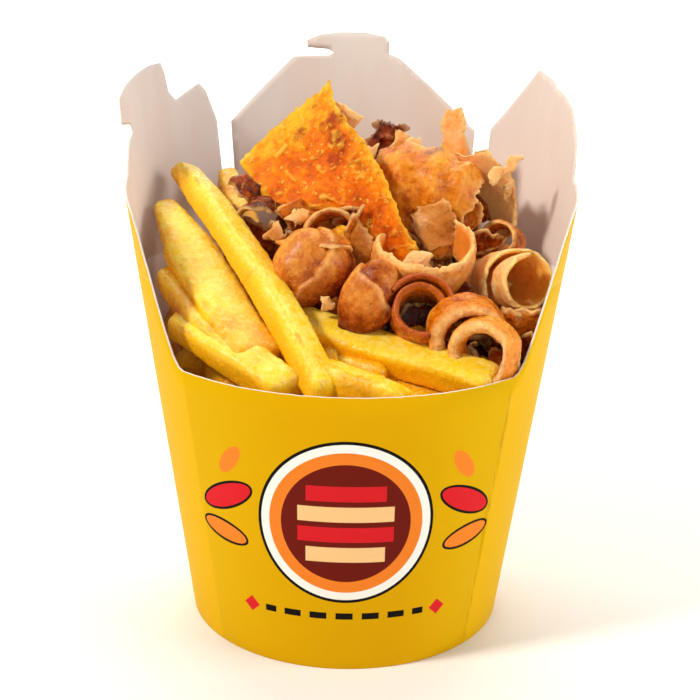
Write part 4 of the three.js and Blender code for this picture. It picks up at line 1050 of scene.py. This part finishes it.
chunks = {
    "meat_ball": {
        "at": (-9, -11, 95), "size": (22.5, 20.5, 20.5), "lean": (0, 20, 30), "tuck": 0.1, "tone": 0.05,
        "layers": (-0.7, -0.35, 0.6), "layerWidth": 9.5, "layerStart": 4.5},
    "meat_fold": {
        "at": (5, -22.5, 90), "size": (13.5, 12, 20), "lean": (0, 25, 0), "tuck": 0.1, "tone": 0.2,
        "layers": (0.8, -0.2, 0.5), "layerWidth": 12.0, "layerStart": 3.0},
}
for index, (node, one) in enumerate(chunks.items()):
    flat, faces, marks = chunkSkin(one, 301 + 11 * index)
    piece = makePiece(pieceName(node), keepInside(flat), faces, [meats["meatChunkBraised"]], values=marks)
    settleInBox(piece, node)
print("slices, rolls and chunks of meat are made")


# ---- heaps under the large pieces

heapShape = {
    "level": 89, "slope": 0.4, "crown": 8, "crownAt": (10, 12), "crownSpread": 700,
    "friesDrop": 7, "friesEdge": -20, "friesBlend": 5, "lumps": (1.6, 1.1),
}


def heapHeight(x, y):
    # rises to the back, fullest behind the middle and lower on the fries' side
    shape = heapShape
    fromCrown = (x - shape["crownAt"][0]) ** 2 + (y - shape["crownAt"][1]) ** 2
    crown = shape["crown"] * np.exp(-fromCrown / shape["crownSpread"])
    friesSide = -shape["friesDrop"] / (1 + np.exp((x - shape["friesEdge"]) / shape["friesBlend"]))
    lumps = shape["lumps"][0] * np.sin(0.21 * x + 0.4) * np.cos(0.24 * y)
    lumps = lumps + shape["lumps"][1] * np.sin(0.37 * x - 0.31 * y)
    return shape["level"] + shape["slope"] * y + crown + friesSide + lumps


groundLine = np.array([(-80, 62), (-36, 35), (-25, 10), (-17, -9), (0, -16), (40, -30), (80, -44)])


def onFriesGround(x, y):
    # seen from above, the fries lie to the left of and in front of this line
    return y < np.interp(x, groundLine[:, 0], groundLine[:, 1])


def plainMesh(name, mesh, modifiers):
    # the mesh with its modifiers worked out, as a mesh of its own
    work = bpy.data.objects.new(name + "Work", mesh)
    bpy.context.scene.collection.objects.link(work)
    modifiers(work)
    made = bpy.data.meshes.new_from_object(work.evaluated_get(bpy.context.evaluated_depsgraph_get()))
    bpy.data.objects.remove(work)
    return made


def heapCore(node, name, material, look):
    # the heap's own solid, merged, made fine and sunk a little, so that the real pieces lie over it
    def makeFine(work):
        work.modifiers.new("weld", "WELD").merge_threshold = 0.00001
        remesh = work.modifiers.new("fine", "REMESH")
        remesh.mode = "VOXEL"
        remesh.voxel_size = look["voxel"] * perMetre

    mesh = plainMesh(name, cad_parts[node].data.copy(), makeFine)
    points = np.empty(len(mesh.vertices) * 3)
    mesh.vertices.foreach_get("co", points)
    points = (points.reshape(-1, 3) - np.array([axisX, axisY, footLevel])) / perMetre
    faces = [list(face.vertices) for face in mesh.polygons]
    bpy.data.meshes.remove(mesh)
    near = np.clip(1 - (heapHeight(points[:, 0], points[:, 1]) - points[:, 2]) / look["reach"], 0, 1)
    points[:, 2] -= near * look["sink"]
    relief = layeredNoise(points, look["lump"], 71, 3)
    points[:, 2] += near * relief * look["relief"]
    radius = np.hypot(points[:, 0], points[:, 1])
    shrink = np.minimum(1, (radius - look["inset"]) / np.maximum(radius, 0.1))
    points[:, :2] *= np.where(radius > look["rimFrom"], shrink, 1)[:, None]
    plain = relief * 0
    marks = {"rim": plain, "side": plain + 1, "relief": relief, "tone": plain + look["tone"],
             "burn": plain, "corner": plain, "lid": plain, "tip": plain}
    return makePiece(name, points, faces, [material], values=marks)


# the cores show only in the gaps between the pieces and are darkened there as painted shade: the fries' core at
# the lowest tone, the meat's core in dark mahogany
coreLook = {
    "voxel": 1.3, "sink": 8.0, "reach": 30, "lump": 6.0, "relief": 1.6,
    "inset": 0.5, "rimFrom": 30, "tone": 0.6,
}
friesCore = heapCore("fries_heap", "friesHeapCore", friedPotato, {**coreLook, "tone": -1.0})
meatCore = heapCore("meat_heap", "meatHeapCore", meats["rolledMeatMahogany"], coreLook)
settleInBox(friesCore, "fries_heap")
settleInBox(meatCore, "meat_heap")

# fries of the heap: real bars lying down the slope, the way the large ones do
heapFries = {
    "count": 46, "seed": 4, "length": (30, 58), "thick": (7.5, 10.5), "heading": -58, "spread": 32,
    "x": (-48, 44), "y": (-48, 34), "sink": (3.0, 9.0), "roll": (-35, 35), "flatness": (0.75, 0.95),
    "bow": (-1, 1.5), "tone": (-0.8, 0.0), "fromWall": 6, "lowest": 62, "frontEdge": -40, "frontTop": 74,
}
random = np.random.default_rng(heapFries["seed"])


def drawn(look, label):
    return random.uniform(*look[label])


skins, tries = [], 0
while len(skins) < heapFries["count"] and tries < 4000:
    tries += 1
    x, y, length = (drawn(heapFries, label) for label in ("x", "y", "length"))
    heading = math.radians(heapFries["heading"] + random.normal(0, heapFries["spread"]))
    sink, wide, roll = (drawn(heapFries, label) for label in ("sink", "thick", "roll"))
    if not onFriesGround(x, y):
        continue
    step = np.array([math.cos(heading), math.sin(heading)]) * length / 2
    ends = np.array([[x, y] - step, [x, y] + step])
    level = heapHeight(ends[:, 0], ends[:, 1]) - sink - 2
    limit = wallRadius(np.degrees(np.arctan2(-ends[:, 0], -ends[:, 1])), level) - heapFries["fromWall"]
    if (np.hypot(ends[:, 0], ends[:, 1]) > limit).any() or (level < heapFries["lowest"]).any():
        continue
    if ends[:, 1].min() < heapFries["frontEdge"] and level[ends[:, 1].argmin()] > heapFries["frontTop"]:
        continue
    high, bow, tone = wide * drawn(heapFries, "flatness"), drawn(heapFries, "bow"), drawn(heapFries, "tone")
    one = {"from": (*ends[0], level[0]), "to": (*ends[1], level[1]), "bow": bow, "width": wide,
           "height": high, "roll": roll, "tone": tone}
    skins.append(frySkin(one, 500 + len(skins) * 3, 1.1))
flat, faces, marks, _ = joinSkins(skins)
piece = makePiece("friesOfTheHeap", keepInside(flat), faces, [friedPotato], values=marks)
settleInBox(piece)
print("heap of fries has", len(skins), "bars")

# shavings of the heap: curled scraps lying in all directions over the core
heapMeat = {
    "count": 150, "seed": 8, "size": (6, 15), "radius": (4, 12), "turn": (50, 210), "sink": (0.5, 8.0),
    "longest": 20, "reach": 50, "early": (0.6, 0.9), "late": (0.5, 0.9), "thickness": (1.2, 2.2),
    "tooth": (0.5, 0.9), "wave": (0.5, 1.1), "tone": (-0.2, 0.5), "paintedShadePerSink": 0.16,
}
random = np.random.default_rng(heapMeat["seed"])
skins = []
while len(skins) < heapMeat["count"]:
    turn, share = random.uniform(0, 2 * math.pi), math.sqrt(random.uniform(0, 1)) * 0.97
    x, y = (heapMeat["reach"] * share * wave(turn) for wave in (math.cos, math.sin))
    if onFriesGround(x, y):
        continue
    sink, radius, arc, size = (drawn(heapMeat, label) for label in ("sink", "radius", "turn", "size"))
    axis, start = random.normal(0, 1, 3) * np.array([1, 1, 0.5]), random.normal(0, 1, 3)
    early, late, thickness, tooth, wave, tone = (
        drawn(heapMeat, label) for label in ("early", "late", "thickness", "tooth", "wave", "tone"))
    # shavings sunk deeper are darkened: painted shade inside the heap
    one = {"at": (x, y, heapHeight(x, y) - sink), "axis": axis, "start": start, "radius": radius,
           "turn": min(arc, math.degrees(heapMeat["longest"] / radius)),
           "width": (size * 0.3, size * early, size, size * late, size * 0.3), "thickness": thickness,
           "tooth": tooth, "wave": wave, "waveSize": 7, "crust": 0.3,
           "tone": tone + heapMeat["paintedShadePerSink"] * sink}
    skins.append(curlSkin(one, 900 + 5 * len(skins), 0.85))
flat, faces, marks, _ = joinSkins(skins)
heapPiece = makePiece("shavingsOfTheHeap", keepInside(flat), faces, [meats["shavedMeatRoasted"]], values=marks)
settleInBox(heapPiece)
print("heap of meat has", len(skins), "shavings")

# ---- fine flakes strewn over the heap

def strewOver(name, surface, variants, material, look):
    # a node group strews the flakes over the upward faces of a surface, each turned and sized at random
    group = bpy.data.node_groups.new(name + "Nodes", "GeometryNodeTree")
    add = partial(addNode, group)
    kinds = bpy.data.collections.new(name + "Kinds")
    for variant in variants:
        kinds.objects.link(variant)
    settings = {
        "Flakes": ("Collection", kinds), "Density": ("Float", look["density"]),
        "Smallest": ("Float", look["size"][0]), "Largest": ("Float", look["size"][1]),
        "Seed": ("Int", look["seed"]), "Finish": ("Material", material)}
    face = group.interface
    face.new_socket("Surface", in_out="INPUT", socket_type="NodeSocketGeometry")
    sockets = {label: face.new_socket(label, in_out="INPUT", socket_type="NodeSocket" + kind).identifier
               for label, (kind, _) in settings.items()}
    face.new_socket("Flakes", in_out="OUTPUT", socket_type="NodeSocketGeometry")
    given = add("NodeGroupInput").node.outputs
    upward = add("SeparateXYZ", (add("GeometryNodeInputNormal"),), 2)
    facing = add("Math", (upward, look["upward"]), operation="GREATER_THAN")
    density = add("Math", (given["Density"], facing), operation="MULTIPLY")
    points = add("GeometryNodeDistributePointsOnFaces", {
        "Mesh": given["Surface"], "Density": density, "Seed": given["Seed"]}).node.outputs
    flakes = add("GeometryNodeCollectionInfo", {
        "Collection": given["Flakes"], "Separate Children": True, "Reset Children": True})
    lean = look["lean"]
    spin = add("FunctionNodeRandomValue", {
        0: (-lean, -lean, 0.0), 1: (lean, lean, 2 * math.pi), "Seed": given["Seed"]}, data_type="FLOAT_VECTOR")
    turned = add("FunctionNodeRotateRotation", (points["Rotation"], spin), rotation_space="LOCAL")
    grow = add("FunctionNodeRandomValue", {
        2: given["Smallest"], 3: given["Largest"], "Seed": given["Seed"]}, 1, data_type="FLOAT")
    placed = add("GeometryNodeInstanceOnPoints", {
        "Points": points["Points"], "Instance": flakes, "Pick Instance": True, "Rotation": turned,
        "Scale": grow})
    real = add("GeometryNodeRealizeInstances", (placed,))
    add("NodeGroupOutput", (add("GeometryNodeSetMaterial", {"Geometry": real, "Material": given["Finish"]}),))

    def strew(work):
        modifier = work.modifiers.new("strew", "NODES")
        modifier.node_group = group
        for label, (_, value) in settings.items():
            modifier[sockets[label]] = value

    mesh = plainMesh(name, surface, strew)
    for variant in variants:
        bpy.data.objects.remove(variant)
    mesh.name = name
    piece = bpy.data.objects.new(name, mesh)
    bpy.context.scene.collection.objects.link(piece)
    return piece


def flakeKinds(name, material, look):
    # small torn flakes, each about its own middle and left out of the scene
    kinds = []
    for index, (radius, turn, widths, tone) in enumerate(look["kinds"]):
        one = {"at": (0, 0, 0), "axis": (1, 0, 0), "start": (0, -0.5, 0.85), "radius": radius, "turn": turn,
               "width": widths, "tone": tone, **look["flake"]}
        flat, faces, marks = curlSkin(one, 2300 + 9 * index, 0.55)
        kind = makePiece(name + "Kind", flat, faces, [material], values=marks)
        kind.data.transform(Matrix.Translation((-axisX, -axisY, -footLevel)))
        bpy.context.scene.collection.objects.unlink(kind)
        kinds.append(kind)
    return kinds


flakeLook = {
    "density": 34000.0, "size": (0.6, 1.5), "seed": 5, "upward": 0.35, "lean": 0.5,
    # each kind's radius, turn, widths and tone
    "kinds": [(3, 70, (1, 3, 3.4, 1.2), -0.5), (2.2, 130, (1.5, 2.6, 2.2, 0.8), -0.1),
              (5, 40, (0.8, 2, 4.2, 2), -0.3), (1.6, 160, (2, 3, 1.6), 0.3)],
    "flake": {"thickness": 0.6, "tooth": 0.35, "wave": 0.35, "waveSize": 3, "crust": 0.15, "rimWidth": 0.6},
}
paleMeat = meats["shavedMeatPale"]
kinds = flakeKinds("fineFlake", paleMeat, flakeLook)
flakes = strewOver("fineFlakes", heapPiece.data, kinds, paleMeat, flakeLook)
settleInBox(flakes)
print("fine flakes are strewn,", len(flakes.data.polygons), "faces")

# smaller scraps that show between the large pieces
scraps = [
    # place, axis, start, radius, turn, widths, tone, meat
    ((-8.4, -12, 101.8), (-0.15, 0.95, 0.2), (-0.75, 0, 0.6), 12.2, 95, (8, 12, 13), 0.1, "shavedMeatRoasted"),
    ((37, 20, 112), (0.9, -0.3, 0.2), (0, -0.8, 0.6), 12, 80, (12, 15, 13), 0.4, "shavedMeatRoasted"),
    ((-2.8, 14, 133), (0.9, 0, 0.4), (0, -0.9, 0.4), 9, 60, (4, 8, 9), -0.5, "shavedMeatPale"),
    ((13.8, 30.5, 126), (0.9, 0.1, 0.2), (0, -0.9, 0.4), 5, 120, (5, 7, 6), -0.2, "shavedMeatPale"),
    ((41.6, 6, 120.8), (-0.65, 0.1, 0.75), (-0.3, -0.9, -0.2), 14, 42, (3.5, 3, 4), -0.5, "shavedMeatPale"),
    ((42.4, 10, 114.4), (0.3, 0.3, 0.9), (0.4, -0.9, 0), 3, 90, (3, 4, 3), -0.6, "shavedMeatPale"),
    ((17.4, -10, 97.3), (0.95, -0.2, 0.1), (0, -0.6, 0.8), 3, 110, (7, 6, 6), -0.5, "shavedMeatPale"),
    ((-20.4, -5, 103.2), (0.8, -0.4, 0.2), (0, -0.5, 0.85), 3.5, 120, (3, 5, 3), -0.4, "shavedMeatGrey"),
    ((-15.5, -12.5, 101.2), (0.9, -0.3, -0.2), (0, -0.6, 0.8), 5, 70, (5, 7, 4), 0.0, "shavedMeatRoasted"),
    ((-14.5, -16, 99), (0.8, -0.5, 0.1), (-0.2, -0.6, 0.8), 7, 50, (5, 7, 5), -0.1, "shavedMeatCrisp"),
    ((-25.2, 2, 109), (0.2, 0.9, 0.2), (-0.9, 0, 0.3), 6, 120, (7, 9, 8), 0.8, "shavedMeatRoasted"),
    ((-29, 8, 112.8), (0.5, 0.6, 0.5), (-0.6, -0.3, 0.7), 6, 130, (6, 8, 6), 0.7, "shavedMeatRoasted"),
    ((-20.5, 6, 107), (0.3, 0.9, -0.1), (0.2, 0, 1), 4.5, 190, (6, 7, 5), 0.7, "rolledMeatMahogany"),
    ((-3.4, -4, 101), (0.7, -0.5, 0.4), (0.2, -0.7, 0.7), 9, 60, (8, 9, 6), 0.0, "shavedMeatCrisp"),
    ((-12, 2.5, 106.8), (0.9, 0.2, -0.2), (0, -0.5, 0.8), 6, 100, (14, 16, 12), 0.2, "shavedMeatRoasted"),
    ((-14.5, 0, 107.2), (0.95, 0.1, 0.15), (0, -0.6, 0.8), 4, 60, (5, 8, 4), -0.3, "shavedMeatPale"),
    ((0.5, 0, 106.5), (0.3, -0.5, 0.8), (-0.2, -0.9, -0.2), 8, 80, (9, 11, 8), 0.3, "shavedMeatRoasted"),
    ((0.2, -4, 104.3), (0.15, -0.2, 0.95), (0.2, -0.9, 0), 5, 90, (9, 12, 14), 0.2, "shavedMeatRoasted"),
    ((-5.6, -22, 88.6), (0.6, -0.3, 0.7), (-0.4, -0.8, 0.2), 3, 90, (3, 4, 2.5), -0.5, "shavedMeatPale"),
    ((41, -24, 83), (0.2, -0.4, 0.9), (-0.6, -0.7, 0), 7, 90, (9, 12, 9), 0.2, "shavedMeatRoasted"),
    ((46, -18, 84.9), (0.3, -0.3, 0.9), (-0.7, -0.6, 0), 6, 100, (8, 10, 8), 0.0, "shavedMeatGrey"),
    ((46, -26, 78.6), (0.1, -0.5, 0.8), (-0.6, -0.8, 0), 7, 80, (8, 10, 7), 0.4, "shavedMeatRoasted"),
    ((38, -33, 76), (0.6, -0.5, 0.5), (0, -0.7, 0.7), 7, 90, (10, 11, 8), 0.5, "shavedMeatRoasted"),
    ((29, 5, 107.5), (0.9, -0.2, 0.3), (0, -0.7, 0.7), 8, 70, (10, 12, 8), 0.3, "shavedMeatRoasted"),
    ((36, 4, 100), (0.4, -0.5, 0.7), (-0.4, -0.8, 0), 7, 90, (9, 11, 8), 0.5, "shavedMeatRoasted"),
    ((16.3, 20, 125.3), (0.4, 0, 0.9), (0, -1, 0), 4, 80, (3, 5, 5), -0.6, "shavedMeatPale"),
    ((3.9, 12, 122.6), (0.5, 0, 0.85), (0, -1, 0), 5, 70, (4, 7, 8), -0.6, "shavedMeatPale"),
    ((25.5, -17, 89), (0.9, -0.4, 0.1), (0, -0.6, 0.8), 8, 80, (9, 12, 9), 0.5, "rolledMeatMahogany"),
    ((17.6, -18.5, 83), (0.9, 0, 0.1), (0, -0.85, 0.5), 9, 70, (11, 12, 11), 1.6, "shavedMeatRoasted"),
]
scrapPlain = {"shift": (0, 0.8, -0.8, 0.5, -0.6), "thickness": 1.4, "tooth": 0.7, "wave": 1.0, "waveSize": 4,
              "crust": 0.4, "rimWidth": 1.2}
skins, finishes = [], []
for index, (place, axis, start, radius, turn, (first, widest, last), tone, meat) in enumerate(scraps):
    one = {"at": place, "axis": axis, "start": start, "radius": radius, "turn": turn, "tone": tone,
           "width": (first * 0.35, first, widest, last, last * 0.3), **scrapPlain}
    skins.append(curlSkin(one, 1700 + 7 * index, 0.45))
    finishes.append(list(meats).index(meat))
flat, faces, marks, source = joinSkins(skins)
finishes = [finishes[skin] for skin in source]
piece = makePiece("scrapsBetween", keepInside(flat), faces, list(meats.values()), finishes, marks)
settleInBox(piece)
print("small scraps between the large pieces are made")


# ---- light, floor and camera

def areaLight(name, place, target, size, power, colour="#FFFFFF", beam=180):
    lamp = bpy.data.lights.new(name, "AREA")
    lamp.shape = "RECTANGLE"
    lamp.size, lamp.size_y = size
    lamp.energy, lamp.color, lamp.spread = power, fromHex(colour)[:3], math.radians(beam)
    holder = bpy.data.objects.new(name, lamp)
    holder.location = place
    holder.rotation_euler = (Vector(target) - Vector(place)).to_track_quat("-Z", "Y").to_euler()
    bpy.context.scene.collection.objects.link(holder)


boxMiddle, backdrop = (axisX, axisY, 0.08), (axisX, axisY + 2.1, 0.5)
lights = {
    # name: place, what it points at, size, watts, colour unless white, and a narrow one's beam in degrees
    "keyFromLeft": ((-0.68, -0.36, 0.76), boxMiddle, (0.16, 0.16), 8.6, "#FFF9F0"),
    "fillFromRight": ((0.8, -0.25, 0.4), boxMiddle, (0.5, 0.5), 4.4),
    "softTop": ((0.05, 0.2, 0.9), boxMiddle, (0.5, 0.5), 1.3),
    "frontFill": ((0.05, -0.42, 0.2), boxMiddle, (0.12, 0.12), 0.18),
    "kickerIntoRoll": ((0.11, -0.5, 0.15), (0.04, -0.02, 0.093), (0.04, 0.04), 0.0015, "#FFFFFF", 14),
    "backdropWash": ((0.0, 0.75, 1.5), backdrop, (1.6, 0.6), 60.0),
}
for name, setting in lights.items():
    areaLight(name, *setting)
world = bpy.data.worlds.new("softStudio")
world.use_nodes = True
background = world.node_tree.nodes["Background"].inputs
background[0].default_value, background[1].default_value = fromHex("#FFFFFF"), 0.15
bpy.context.scene.world = world

# a pale floor that bends up into a backdrop, in metres
sweep = {"halfWide": 3.0, "front": -2.5, "back": 1.2, "bend": 0.9, "top": 2.6, "steps": 24}
floorMaterial, floorTree = newMaterial("paintedStudioFloor")
finishMaterial(floorTree, {"Base Color": fromHex("#F4F2EF"), "Roughness": 0.8})
profile = [(sweep["front"], 0.0), (sweep["back"], 0.0)]
for step in range(1, sweep["steps"] + 1):
    angle = math.pi / 2 * step / sweep["steps"]
    profile.append((sweep["back"] + sweep["bend"] * math.sin(angle), sweep["bend"] * (1 - math.cos(angle))))
profile.append((sweep["back"] + sweep["bend"], sweep["top"]))
floorPoints = [(side * sweep["halfWide"], along, high) for along, high in profile for side in (-1, 1)]
floorMesh = bpy.data.meshes.new("studioFloor")
floorMesh.from_pydata(floorPoints, [], gridFaces(len(profile), 2).tolist())
floorMesh.polygons.foreach_set("use_smooth", [True] * len(floorMesh.polygons))
floorMesh.materials.append(floorMaterial)
floor = bpy.data.objects.new("studioFloor", floorMesh)
bpy.context.scene.collection.objects.link(floor)

# distance, aim height and aside in millimetres from the box's axis; rise and roll in degrees
view = {
    "distance": 273.7, "rise": 13.76, "aside": 0.26, "height": 71.3, "roll": 1.05,
    "lens": 51.43, "sensor": 36.0,
}
rise = math.radians(view["rise"])
target = Vector((axisX + view["aside"] * perMetre, axisY, view["height"] * perMetre))
back = Vector((0, -math.cos(rise), math.sin(rise)))
lens = bpy.data.cameras.new("camera")
lens.lens, lens.sensor_width, lens.clip_start = view["lens"], view["sensor"], 0.01
camera = bpy.data.objects.new("camera", lens)
turnTo = (-back).to_track_quat("-Z", "Y").to_matrix().to_4x4()
roll = Matrix.Rotation(math.radians(view["roll"]), 4, "Z")
camera.matrix_world = Matrix.Translation(target + back * view["distance"] * perMetre) @ turnTo @ roll
bpy.context.scene.collection.objects.link(camera)
bpy.context.scene.camera = camera
bpy.context.scene.view_settings.view_transform = "Standard"

print("light, floor and camera are set")
